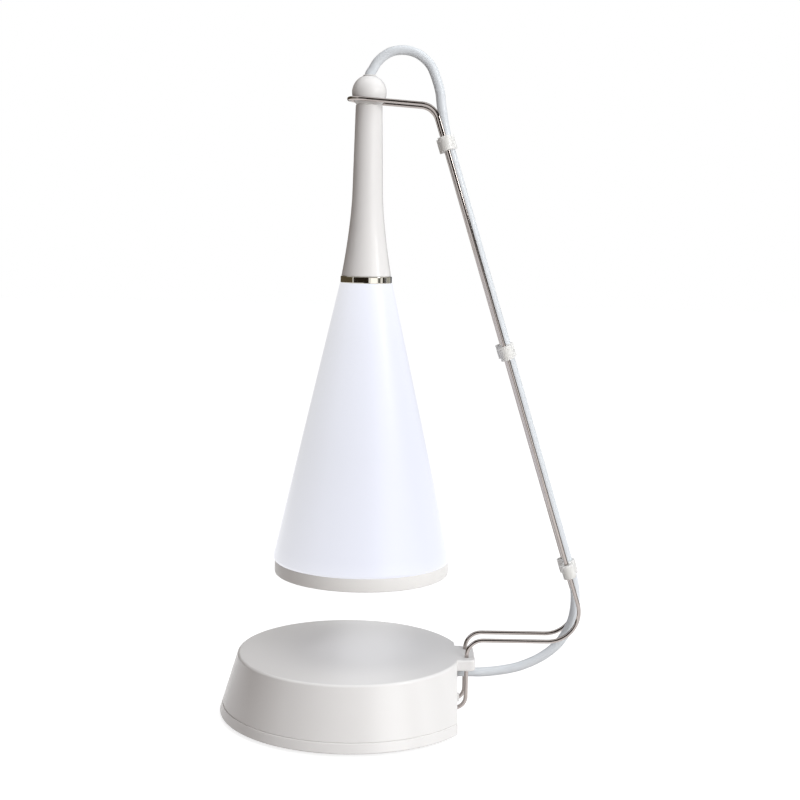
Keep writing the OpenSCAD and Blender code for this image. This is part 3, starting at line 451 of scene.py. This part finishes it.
# Pressed paper: dark pulp with short lighter fibres lying every way, matt.
pulp, tree, shader, place = bare_finish("black_paper_pulp")
fibres = add_node(tree, "ShaderNodeTexNoise", {"Vector": place, "Scale": 1 / (0.7 * mm), "Detail": 6,
                                               "Roughness": 0.75, "Distortion": 2.5}).outputs["Fac"]
tone = add_node(tree, "ShaderNodeMix", {"Factor": fibres, "A": paint("#17171A"), "B": paint("#36363B")},
                data_type="RGBA")
felt = add_node(tree, "ShaderNodeBump", {"Height": fibres, "Strength": 1, "Distance": 0.05 * mm})
tree.links.new(tone.outputs["Result"], shader.inputs["Base Color"])
tree.links.new(felt.outputs["Normal"], shader.inputs["Normal"])
shader.inputs["Roughness"].default_value = 0.85
dress(pulp, "speaker_cone", "speaker_dust_cap")


def bands(pitch_mm):
    """The scale at which a wave texture repeats once in so many millimetres."""
    return math.pi / 10 / (pitch_mm * mm)


# Copper wire, 0.3 mm thick, wound turn on turn and lacquered: fine bright ribs one above another.
coil_wire = metal("lacquered_copper_wire", "#C9793F", "#B3632F", 0.29, 0.4, 1.2, 0.001)
tree = coil_wire.node_tree
place = add_node(tree, "ShaderNodeTexCoord").outputs["Object"]
turns = add_node(tree, "ShaderNodeTexWave", {"Vector": place, "Scale": bands(0.3)}, bands_direction="Z")
ribs = add_node(tree, "ShaderNodeBump", {"Height": turns.outputs["Fac"], "Strength": 1, "Distance": 0.1 * mm})
tree.links.new(ribs.outputs["Normal"], tree.nodes["Principled BSDF"].inputs["Normal"])
dress(coil_wire, "voice_coil")

# Cotton cloth with 0.6 mm threads, pressed into rings and stiffened with amber resin.
spider_cloth, tree, shader, place = bare_finish("resin_dipped_cotton")
warp = add_node(tree, "ShaderNodeTexWave", {"Vector": place, "Scale": bands(0.6)},
                bands_direction="X").outputs["Fac"]
weft = add_node(tree, "ShaderNodeTexWave", {"Vector": place, "Scale": bands(0.6)},
                bands_direction="Y").outputs["Fac"]
weave = add_node(tree, "ShaderNodeMath", {0: warp, 1: weft}, operation="MULTIPLY").outputs[0]
tone = add_node(tree, "ShaderNodeMix", {"Factor": weave, "A": paint("#8E6A38"), "B": paint("#C79A5A")},
                data_type="RGBA")
threads = add_node(tree, "ShaderNodeBump", {"Height": weave, "Strength": 1, "Distance": 0.12 * mm})
tree.links.new(tone.outputs["Result"], shader.inputs["Base Color"])
tree.links.new(threads.outputs["Normal"], shader.inputs["Normal"])
shader.inputs["Roughness"].default_value = 0.7

# The spider is laid in quarters, each a mesh of its own. Its inner edge moves with the coil
# while its outer edge stays glued in the basket.
spider_in, spider_out, spider_z = 7.7, 16.4, 16.25
wave_pitch, wave_height, half_cloth = 2.2, 0.1, 0.12
waves = []
for k in range(41):
    reach = (spider_out - spider_in) * k / 40
    waves.append((spider_in + reach, spider_z + wave_height * math.sin(math.tau * reach / wave_pitch)))
quarter = turned("spider_quarter", 0, [(r, z + half_cloth) for r, z in waves]
                 + [(r, z - half_cloth) for r, z in waves[::-1]], hollow=True)
bpy.ops.object.mode_set(mode="EDIT")
for side in (-1, 1):
    bpy.ops.mesh.select_all(action="SELECT")
    bpy.ops.mesh.bisect(plane_co=(0, 0, 0), plane_no=(-1, side, 0), use_fill=True, clear_outer=True)
bpy.ops.mesh.select_all(action="SELECT")
bpy.ops.mesh.normals_make_consistent(inside=False)
bpy.ops.object.mode_set(mode="OBJECT")
for cloth in copies_round(quarter, 4):
    fit(cloth, spider_cloth, "tan_cloth", None, "speaker_spider")
    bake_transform(cloth)

# ---- Board, battery and sockets ----------------------------------------------------------------
# A glass-fibre board stands behind the flat back and carries the amplifier, the audio jack, the
# charging socket and the switch; a flat battery in blue shrink film lies beside the loudspeaker.
socket_z = 15
jack_y, charge_y, switch_y = 14.4439, 23.294, -20.8008
solder_mask, tree, shader, place = bare_finish("green_solder_mask")
shader.inputs["IOR"].default_value = 1.55
shader.inputs["Roughness"].default_value = 0.3
# Copper tracks, 0.8 mm wide, show through the lacquer as lighter and slightly raised stripes.
tracks = add_node(tree, "ShaderNodeTexBrick", {
    "Vector": place, "Scale": 1 / (4 * mm), "Color1": (0, 0, 0, 1), "Color2": (0, 0, 0, 1),
    "Mortar": (1, 1, 1, 1), "Mortar Size": 0.1, "Mortar Smooth": 0.2, "Brick Width": 2.5, "Row Height": 0.6})
tone = add_node(tree, "ShaderNodeMix", {"Factor": tracks.outputs["Fac"], "A": paint("#0E4A26"),
                                        "B": paint("#1F6B38")}, data_type="RGBA")
raised = add_node(tree, "ShaderNodeBump", {"Height": tracks.outputs["Fac"], "Strength": 1,
                                           "Distance": 0.05 * mm})
tree.links.new(tone.outputs["Result"], shader.inputs["Base Color"])
tree.links.new(raised.outputs["Normal"], shader.inputs["Normal"])
dress(solder_mask, "main_board")
black_plastic = moulded("black_filled_nylon", "#1B1B1D", "#131315", 0.48, 5, 0.3, 0.012)
dress(black_plastic, "board_parts", "switch_body")
shrink_film = moulded("blue_pvc_shrink_film", "#3F5F93", "#365585", 0.34, 6, 3, 0.09)
dress(shrink_film, "battery")


def along_x(piece, y, z):
    """Lays a piece that was turned upright along X, and puts its axis at a place on the flat back."""
    only(piece)
    piece.rotation_euler = (0, math.pi / 2, 0)
    piece.location = (0, y * mm, z * mm)
    bpy.ops.object.transform_apply()
    return piece


jack = along_x(turned("audio_jack_body", 0, [
    (1.8, 40), (1.8, 52.6), (2.1, 53), (2.6, 53), (2.9, 52.8), (2.9, 50.65), (3.6, 50.65), (3.6, 38.8),
    (1.2, 38.8), (1.2, 40)], hollow=True, sides=64), jack_y, socket_z)
fit(jack, black_plastic, "black_plastic", "base", "audio_jack")

charge = block("charging_socket_shell", (38.8, charge_y - 4.5, socket_z - 1.6),
               (back_x, charge_y + 4.5, socket_z + 1.6), "X", 1.58)
cut(charge, block("mouth", (46, charge_y - 4.1, socket_z - 1.2), (60, charge_y + 4.1, socket_z + 1.2),
                  "X", 1.18), "DIFFERENCE")
cut(charge, block("tongue", (45.5, charge_y - 3.15, socket_z - 0.35),
                  (52, charge_y + 3.15, socket_z + 0.35)), "UNION")
crisp(charge)
nickel = metal("nickel_plated_steel", "#CFCBC2", "#BDB8AE", 0.16, 0.26, 1.2, 0.002)
fit(charge, nickel, "bright_chrome", "base", "charge_socket")

knob = block("slide_knob", (46.8, switch_y - 1.7, socket_z - 1.8), (54.2, switch_y + 1.7, socket_z + 1.8))
soften(knob, 0.35, 4, lambda e: max(v.co.x for v in e.verts) > 54 * mm)
for y in (switch_y - 0.9, switch_y, switch_y + 0.9):
    cut(knob, block("thumb_groove", (53.9, y - 0.15, 12), (55, y + 0.15, 18)), "DIFFERENCE")
crisp(knob)
fit(knob, gloss_white, "white_gloss", "knob", "switch_knob")

# ---- Base shell --------------------------------------------------------------------------------
# The upper housing of the base: a round drum that narrows upwards, cut flat at the back, with a lug
# there that holds the arm's wires. Injection-moulded glossy white ABS, 2.2 mm thick, open below.
wall_lean = math.atan2(9, 30)
edge_x, edge_z, edge_r = 54.81, 29.9, 1.6
leg_x, lead_z = 58.3, 21.2
top_edge = [wall_lean + (math.pi / 2 - wall_lean) * k / 8 for k in range(9)]
shell = slice_back(turned("base_shell_moulding", 0, [(63.16, 6.4), (63.41, 6.8)]
                          + [(edge_x + edge_r * math.cos(a), edge_z + edge_r * math.sin(a))
                             for a in top_edge], sides=base_sides), back_x)
soften(shell, 0.5, 3, lambda e: all(abs(v.co.x - back_x * mm) < 1e-6 for v in e.verts)
       and any(v.co.z > 6.45 * mm for v in e.verts))
bpy.ops.object.mode_set(mode="EDIT")
bpy.ops.mesh.select_all(action="SELECT")
bpy.ops.mesh.normals_make_consistent(inside=False)
pick(shell, faces=lambda f: f.normal.z < -0.99 and f.calc_center_median().z < 7 * mm)
bpy.ops.mesh.delete(type="FACE")
bpy.ops.object.mode_set(mode="OBJECT")
modify(shell, "SOLIDIFY", thickness=2.2 * mm, offset=-1)
lug = block("lug", (51.5, -13, 25.4), (62.5, 13, 30.9))
soften(lug, 3, 10, lambda e: all(v.co.x > 62 * mm for v in e.verts)
       and abs(e.verts[0].co.z - e.verts[1].co.z) > 1 * mm)
soften(lug, 0.7, 3, lambda e: abs(e.verts[0].co.z - e.verts[1].co.z) < 1e-6
       and max(v.co.x for v in e.verts) > 51.6 * mm)
cut(shell, lug, "UNION")
cut(shell, ring_of(rod("screw_post", (screw_at, screw_at, 18), 4, 23), 4), "UNION")
cut(shell, ring_of(rod("screw_pilot", (screw_at, screw_at, 10), 1.55, 12), 4), "DIFFERENCE")
for side in (-1, 1):
    cut(shell, rod("wire_hole", (leg_x, side * 7.134, 28), wire_bore, 10), "DIFFERENCE")
cut(shell, rod("lead_hole", (52, 0, lead_z), 3.3, 8, "X"), "DIFFERENCE")
cut(shell, rod("jack_hole", (52, jack_y, socket_z), 3.05, 8, "X"), "DIFFERENCE")
cut(shell, block("charge_hole", (48, charge_y - 4.65, socket_z - 1.75),
                 (56, charge_y + 4.65, socket_z + 1.75), "X", 1.74), "DIFFERENCE")
cut(shell, block("switch_hole", (48, switch_y - 4, socket_z - 1.9), (56, switch_y + 4, socket_z + 1.9),
                 "X", 0.3), "DIFFERENCE")
crisp(shell)
fit(shell, gloss_white, "white_gloss", "base", "base_shell")

# ---- Wire arm ----------------------------------------------------------------------------------
# One hairpin of polished stainless wire, 2 mm thick: two legs out of the base, a low run to the right,
# the long slope, a top run that climbs a little, and a half loop round the neck. Bent cold.
spread = math.radians(0.326255)
climb = math.radians(3.71988)
inner_end, low_z = 30.8, 39.6
arm_corners = [(inner_end, wire_z), (leg_x, wire_z), (leg_x, low_z), (119, low_z),
               (36.4, 301.1), (4.1, 303.2)]
arm_bends = [0, 6, 8, 15, 9, 0]
bpy.ops.object.select_all(action="DESELECT")
bpy.ops.mesh.primitive_circle_add(vertices=24, radius=1 * mm, rotation=(0, math.pi / 2, 0),
                                  location=(inner_end * mm, -wire_y * mm, wire_z * mm))
wire = bpy.context.object
wire.name = wire.data.name = "hairpin_wire"
bpy.ops.object.transform_apply()
bpy.ops.object.mode_set(mode="EDIT")
bpy.ops.mesh.select_all(action="SELECT")
for side in (-1, 1):
    stops = []
    for x, z in arm_corners:
        rise = z - wire_z
        y = side * (wire_y + rise * math.sin(spread))
        stops.append(Vector((x, y, wire_z + rise * math.cos(spread))) * mm)
    stops, radii = stops[::-side], arm_bends[::-side]
    stands = stops[0]
    for i in range(1, len(stops)):
        along = (stops[i] - stops[i - 1]).normalized()
        before_bend = stops[i]
        if i < len(stops) - 1:
            onward = (stops[i + 1] - stops[i]).normalized()
            sweep = along.angle(onward)
            bend = radii[i] * mm
            before_bend = stops[i] - along * bend * math.tan(sweep / 2)
        steps = max(1, int((before_bend - stands).length / 0.04))
        for k in range(steps):
            bpy.ops.mesh.extrude_region_move(
                TRANSFORM_OT_translate={"value": (before_bend - stands) / steps})
        stands = before_bend
        if i < len(stops) - 1:
            inward = (onward - along * along.dot(onward)).normalized()
            bpy.ops.mesh.spin(steps=max(6, int(math.degrees(sweep) / 6)), angle=sweep,
                              center=before_bend + inward * bend, axis=onward.cross(along).normalized())
            stands = stops[i] + onward * bend * math.tan(sweep / 2)
    if side < 0:
        bpy.ops.mesh.spin(steps=32, angle=math.pi, center=(stops[-1].x, 0, stops[-1].z),
                          axis=(math.sin(climb), 0, math.cos(climb)))
bpy.ops.mesh.select_mode(type="EDGE")
bpy.ops.mesh.select_all(action="DESELECT")
bpy.ops.mesh.select_non_manifold()
bpy.ops.mesh.fill_holes(sides=0)
bpy.ops.mesh.select_all(action="SELECT")
bpy.ops.mesh.normals_make_consistent(inside=False)
bpy.ops.object.mode_set(mode="OBJECT")
bpy.ops.object.shade_smooth_by_angle(angle=math.radians(40))
stainless = metal("polished_stainless_wire", "#B7AFAB", "#ABA39F", 0.05, 0.09, 6, 0.0002)
fit(wire, stainless, "polished_stainless", "base", "wire_arm")

# ---- Clips -------------------------------------------------------------------------------------
# Three snap clips that tie the lead to the slope: two lobes that grip the wires and a third that holds
# the lead between them, each with a slit to snap it on. Moulded milky white nylon, edges softened.
slope_lean = math.radians(17.5298)
milky_nylon = moulded("milky_white_nylon", "#E6E6E3", "#DDDDDA", 0.4, 5, 0.5, 0.006)
# Light seeps about 3 mm into the nylon, so its shaded side stays pale.
shader = milky_nylon.node_tree.nodes["Principled BSDF"]
shader.inputs["Subsurface Weight"].default_value = 0.7
shader.inputs["Subsurface Radius"].default_value = (1, 1, 1)
shader.inputs["Subsurface Scale"].default_value = 3 * mm
lobe_r, lead_lobe_r, lead_bore, lead_off = 3.25, 3.45, 2.45, 1.6
clip_h, half_bridge = 6.8, 1.6
for name, x, z, half_pitch in (
        ("clip_upper", 42.063, 283.173, 8.586), ("clip_middle", 73.568, 183.431, 8.018),
        ("clip_lower", 107.604, 75.678, 7.404)):
    clip = block(name + "_moulding", (-half_bridge, -half_pitch, -clip_h / 2),
                 (half_bridge, half_pitch, clip_h / 2))
    for side in (-1, 1):
        cut(clip, rod("wire_lobe", (0, side * half_pitch, 0), lobe_r, clip_h), "UNION")
    cut(clip, rod("lead_lobe", (lead_off, 0, 0), lead_lobe_r, clip_h), "UNION")
    for side in (-1, 1):
        cut(clip, rod("wire_bore", (0, side * half_pitch, 0), wire_bore, 9), "DIFFERENCE")
        cut(clip, block("wire_slit", (0, side * half_pitch - 0.75, -5), (5, side * half_pitch + 0.75, 5)),
            "DIFFERENCE")
    cut(clip, rod("lead_bore", (lead_off, 0, 0), lead_bore, 9), "DIFFERENCE")
    cut(clip, block("lead_slit", (-3.2, -1.5, -5), (lead_off, 1.5, 5)), "DIFFERENCE")
    modify(clip, "BEVEL", width=0.35 * mm, segments=3, limit_method="ANGLE", angle_limit=math.radians(40))
    clip.rotation_euler = (0, -slope_lean, 0)
    clip.location = (x * mm, 0, z * mm)
    bpy.ops.object.transform_apply()
    crisp(clip)
    fit(clip, milky_nylon, "milky_plastic", "base", name)

# ---- Lead from the base up the arm to the ball -------------------------------------------------
# A round two-core lead in a smooth white PVC sheath, 4.6 mm thick. It swings out of the base, is
# clipped along the slope of the arm and drops into the ball in an arch, so it has no loose end.
bell_x, lead_r = 5, 2.3
upper_clip = 13
lead_stops = [Vector((x, 0, z)) * mm for x, z in (
    (bell_x, 310.433), (bell_x, 315.329), (6.5, 317.879), (8.525, 321.245), (11.301, 323.999),
    (15.389, 326.408), (20.752, 327.265), (25.44, 326.592), (29.753, 324.55), (34.178, 320.348),
    (36.691, 315.125), (38.941, 307.985), (39.879, 301.049), (42.504, 287.088), (44.582, 280.508),
    (50.727, 261.056), (104.341, 91.322), (109.13, 76.16), (111.178, 69.676), (112.36, 62.405),
    (112.36, 55.618), (111.178, 48.831), (108.56, 42.529), (104.778, 36.712), (99.251, 31.622),
    (92.561, 27.502), (84.125, 24.109), (74.817, 22.17), (65.799, lead_z), (59.981, lead_z), (45, lead_z))]


def lead_between(name, first, last):
    """The lead from one stop of its route to another, drawn as a smooth tube through the stops."""
    path = []
    for i in range(first, last):
        before, start = lead_stops[max(i - 1, 0)], lead_stops[i]
        end, after = lead_stops[i + 1], lead_stops[min(i + 2, len(lead_stops) - 1)]
        way_in = (end - before).normalized() * (end - start).length
        way_out = (after - start).normalized() * (end - start).length
        steps = 6 if (end - start).length < 0.02 else 12
        for k in range(steps + (i == last - 1)):
            t = k / steps
            path.append((2 * t**3 - 3 * t**2 + 1) * start + (t**3 - 2 * t**2 + t) * way_in
                        + (3 * t**2 - 2 * t**3) * end + (t**3 - t**2) * way_out)
    bpy.ops.object.select_all(action="DESELECT")
    bpy.ops.curve.primitive_bezier_curve_add()
    tube = bpy.context.object
    tube.name = name
    tube.data.splines.clear()
    spline = tube.data.splines.new("POLY")
    spline.points.add(len(path) - 1)
    for point, place in zip(spline.points, path):
        point.co = (*place, 1)
    tube.data.bevel_depth = lead_r * mm
    tube.data.bevel_resolution = 6
    tube.data.use_fill_caps = True
    bpy.ops.object.convert(target="MESH")
    tube = bpy.context.object
    tube.data.name = name
    bpy.ops.object.shade_smooth_by_angle(angle=math.radians(50))
    return tube


white_pvc = moulded("white_pvc_sheath", "#DBE0E4", "#D5DADF", 0.35, 14, 0.8, 0.0008)
lead_run = lead_between("lead_up_the_arm", upper_clip, len(lead_stops) - 1)
fit(lead_run, white_pvc, "white_pvc", "base", "lamp_cable")
lead_arch = lead_between("lead_arch", 0, upper_clip)
fit(lead_arch, white_pvc, "white_pvc", None, "cable_arch")
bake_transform(lead_arch)

# ---- Grommets ----------------------------------------------------------------------------------
# Two white rubber rings that keep the lead from chafing: one snapped into the flat back of the base,
# one in the crown of the ball, where it stays with the lead while the ball turns round it.
white_rubber = moulded("white_moulded_rubber", "#E0DFDD", "#D6D5D3", 0.6, 3, 0.4, 0.008)
base_ring = along_x(turned("back_grommet", 0, [
    (2.45, 49.6), (3.6, 49.6), (3.95, 49.9), (3.95, 50.5), (3.7, 50.725), (3.15, 50.725), (3.15, 53.075),
    (3.65, 53.075), (3.95, 53.35), (3.95, 53.8), (3.75, 54.15), (3.3, 54.275), (2.7, 54.275), (2.45, 54.1)],
    hollow=True, sides=64), 0, lead_z)
fit(base_ring, white_rubber, "white_rubber", "base", "base_grommet")
ball_z = 306.965
crown_ring = turned("crown_grommet", bell_x, [
    (2.45, ball_z + 4), (3.1, ball_z + 4), (3.2, ball_z + 4.2), (3.2, ball_z + 5.1), (2.75, ball_z + 5.1),
    (2.75, ball_z + 7.8), (3.15, ball_z + 7.8), (3.2, ball_z + 7.95), (3.05, ball_z + 8.18),
    (2.75, ball_z + 8.3), (2.45, ball_z + 8.3)], hollow=True, sides=64)
fit(crown_ring, white_rubber, "white_rubber", "cable_end", "cable_grommet")

# ---- Bell: ball --------------------------------------------------------------------------------
# The ball that the bell hangs by: it rests between the two wires of the arm and turns there.
# Glossy white ABS, moulded hollow, with a flat below for the neck and a hole on top for the lead.
ball_r, flat_below, flat_above = 8.3, 5.8, 7.7
lowest, highest = math.asin(-flat_below / ball_r), math.asin(flat_above / ball_r)
ball_angles = [lowest + (highest - lowest) * k / 28 for k in range(29)]
ball = turned("hanging_ball", bell_x,
              [(3.25, ball_z + 5.2), (3.25, ball_z - flat_below)]
              + [(ball_r * math.cos(a), ball_z + ball_r * math.sin(a)) for a in ball_angles]
              + [(2.8, ball_z + flat_above), (2.8, ball_z + 5.2)], hollow=True, sides=96)
fit(ball, gloss_white, "white_gloss", "bell", "ball_cap")

# Inside the ball a threaded brass tube and its nut tie ball and neck together, and a thinner grey
# lead runs down through them to the light.
brass = metal("machined_brass", "#D8B45A", "#C49E45", 0.29, 0.4, 1.5, 0.002)
dress(brass, "ball_nipple", "nipple_nut")
dress(moulded("grey_pvc_sheath", "#A4A7AB", "#989B9F", 0.4, 10, 0.8, 0.002), "bell_lead")

# ---- Bell: neck --------------------------------------------------------------------------------
# The slim upper part of the bell, hollow, flaring like a trumpet towards the bright ring. Glossy
# white ABS; the threaded tube ties it to the ball and its spigot plugs into ring and shade.
neck_h, neck_wall, flare_h = 82, 2.2, 40
neck_z = ball_z - flat_below - neck_h


def swell(s):
    """The outer radius of the neck at a height above its lower edge."""
    return 6.4 + 1.9 * (1 - s / neck_h) + 3.8 * max(0, 1 - s / flare_h) ** 1.65


outside = [neck_h * k / 44 for k in range(1, 44)]
neck = turned("flared_neck", bell_x,
              [(7.4, neck_z - 5.9), (10.6, neck_z - 5.9), (10.6, neck_z), (swell(0) - 0.25, neck_z),
               (swell(0.25), neck_z + 0.25)]
              + [(swell(s), neck_z + s) for s in outside]
              + [(swell(neck_h - 0.4), neck_z + neck_h - 0.4), (swell(neck_h) - 0.4, neck_z + neck_h),
                 (3.25, neck_z + neck_h), (3.25, neck_z + 58), (swell(58) - neck_wall, neck_z + 58)]
              + [(swell(s) - neck_wall, neck_z + s) for s in (46, 36, 28, 20, 14, 8, 4, 2)]
              + [(7.4, neck_z + 2)], hollow=True, sides=128)
fit(neck, gloss_white, "white_gloss", "bell", "neck")

# ---- Bell: bright ring -------------------------------------------------------------------------
# The trim ring between neck and shade: turned brass, polished and chromium-plated, held on the
# spigot. It mirrors the room in dark and bright strips, with faint turning marks and finger smears.
ring_h, ring_r, ring_bore = 3.4, 12.5, 10.75
ring_z = neck_z - ring_h
ring_edge = [(12, 0), (12.26, 0.07), (12.44, 0.24), (ring_r, 0.5)]
ring = turned("bright_trim_ring", bell_x,
              [(ring_bore, ring_z)] + [(r, ring_z + s) for r, s in ring_edge]
              + [(r, ring_z + ring_h - s) for r, s in ring_edge[::-1]] + [(ring_bore, ring_z + ring_h)],
              hollow=True, sides=160)
crisp(ring)
chrome = metal("polished_chrome_plate", "#DCD8CE", "#D2CDC2", 0.04, 0.09, 4, 0.0006)
tree = chrome.node_tree
place = add_node(tree, "ShaderNodeTexCoord").outputs["Object"]
# Turning marks, in truth finer than a hair, are drawn 1 mm apart so that they still show.
marks = add_node(tree, "ShaderNodeTexWave", {"Vector": place, "Scale": bands(1), "Distortion": 0.4},
                 bands_direction="Z")
turning = add_node(tree, "ShaderNodeBump", {"Height": marks.outputs["Fac"], "Strength": 1,
                                            "Distance": 0.0015 * mm})
tree.links.new(turning.outputs["Normal"], tree.nodes["Principled BSDF"].inputs["Normal"])
fit(ring, chrome, "bright_chrome", "bell", "chrome_ring")

# ---- Bell: shade -------------------------------------------------------------------------------
# The lit cone: blow-moulded milky polycarbonate, 2 mm thick, that scatters the cool white light of
# the chips inside. It glows most near the chips at the top and again at its rounded lower edge.
shade_h, shade_foot_r, shade_head_r, shade_edge_r, shade_wall = 137, 44.2, 12.7, 1.4, 2.05
shade_z = ring_z - shade_h
taper = (shade_foot_r - shade_head_r) / shade_h


def cone_r(s):
    """The outer radius of the shade at a height above its lower edge."""
    return shade_head_r + taper * (shade_h - s)


corner_r = shade_foot_r - shade_edge_r * (1 + taper)
shade_corner = [(corner_r + shade_edge_r * math.cos(a), shade_z + shade_edge_r + shade_edge_r * math.sin(a))
                for a in [math.radians(-90 + 90 * k / 8) for k in range(9)]]
shade = turned("milky_shade", bell_x,
               [(42.15, shade_z)] + shade_corner
               + [(cone_r(s), shade_z + s) for s in [1.8 + 135 * k / 30 for k in range(31)]]
               + [(12.55, ring_z), (ring_bore, ring_z), (ring_bore, ring_z - 2.5), (11.22, ring_z - 2.5)]
               + [(cone_r(s) - shade_wall, shade_z + s) for s in (101, 61, 21)],
               hollow=True, sides=192)
milky = moulded("lit_milky_polycarbonate", "#868A9E", "#82869A", 0.36, 60, 1.4, 0.0025)
tree = milky.node_tree
shader = tree.nodes["Principled BSDF"]
height = add_node(tree, "ShaderNodeSeparateXYZ", {0: add_node(tree, "ShaderNodeTexCoord").outputs["Object"]})
up_the_cone = add_node(tree, "ShaderNodeMapRange", {"Value": height.outputs["Z"], "From Min": shade_z * mm,
                                                    "From Max": ring_z * mm})
glow = add_node(tree, "ShaderNodeValToRGB", {"Fac": up_the_cone.outputs["Result"]})
ramp = glow.color_ramp.elements
for where, colour in ((0, "#D2D3D6"), (0.05, "#CDCED1"), (0.4, "#CBCCCE"), (0.8, "#CFD0D2"), (1, "#D6D7DA")):
    stop = ramp.new(where) if 0 < where < 1 else ramp[-1 if where else 0]
    stop.color = paint(colour)
tree.links.new(glow.outputs["Color"], shader.inputs["Emission Color"])
shader.inputs["Emission Strength"].default_value = 1
fit(shade, milky, "frosted_shade", "bell", "shade")

# ---- Bell: rim and lens ------------------------------------------------------------------------
# The rim closes the shade below: a moulded ring of opaque grey-white plastic that is pushed into
# the cone and doesn't glow. It carries a flat milky disc that lets the light down on the table.
rim_z = shade_z - 6.6
lens_r = 39.82
rim = turned("closing_rim", bell_x, [
    (38.88, rim_z), (42.4, rim_z), (42.75, rim_z + 0.08), (43.05, rim_z + 0.33), (43.2, rim_z + 0.8),
    (43.2, rim_z + 6.6), (41.08, rim_z + 6.6), (41.08, rim_z + 10.6), (39.98, rim_z + 10.6),
    (39.98, rim_z + 1.5), (38.88, rim_z + 1.5)], hollow=True, sides=192)
rim_plastic = moulded("grey_white_polystyrene", "#EDECEA", "#E9E8E6", 0.35, 30, 0.9, 0.003)
fit(rim, rim_plastic, "grey_white_plastic", "bell", "rim_ring")
lens = turned("milky_lens", bell_x, [
    (36, rim_z + 1.5), (39.5, rim_z + 1.5), (lens_r, rim_z + 1.8), (lens_r, rim_z + 3.2),
    (39.5, rim_z + 3.5), (36, rim_z + 3.5)], sides=160)
lens_plastic = moulded("milky_acrylic_diffuser", "#A9ABB4", "#A4A6B0", 0.35, 40, 1.2, 0.003)
shader = lens_plastic.node_tree.nodes["Principled BSDF"]
shader.inputs["Emission Color"].default_value = paint("#D2D4DA")
shader.inputs["Emission Strength"].default_value = 0.9
fit(lens, lens_plastic, "frosted_shade", "bell", "bottom_lens")

# ---- Light in the shade ------------------------------------------------------------------------
# A ring of cool white chips on a small white-lacquered board, screwed to an aluminium disc under the
# neck that carries the heat away. The chips show the yellow of their phosphor when they are off.
aluminium = metal("brushed_aluminium", "#D6D8DA", "#C4C7CA", 0.29, 0.44, 0.9, 0.004)
dress(aluminium, "led_holder")
dress(moulded("white_solder_mask", "#E9E9E6", "#E0E0DD", 0.35, 3, 0.4, 0.006), "led_board")
phosphor = moulded("yellow_phosphor_gel", "#E8D36A", "#DCC552", 0.34, 0.8, 0.2, 0.01)
dress(phosphor, "led_chips")
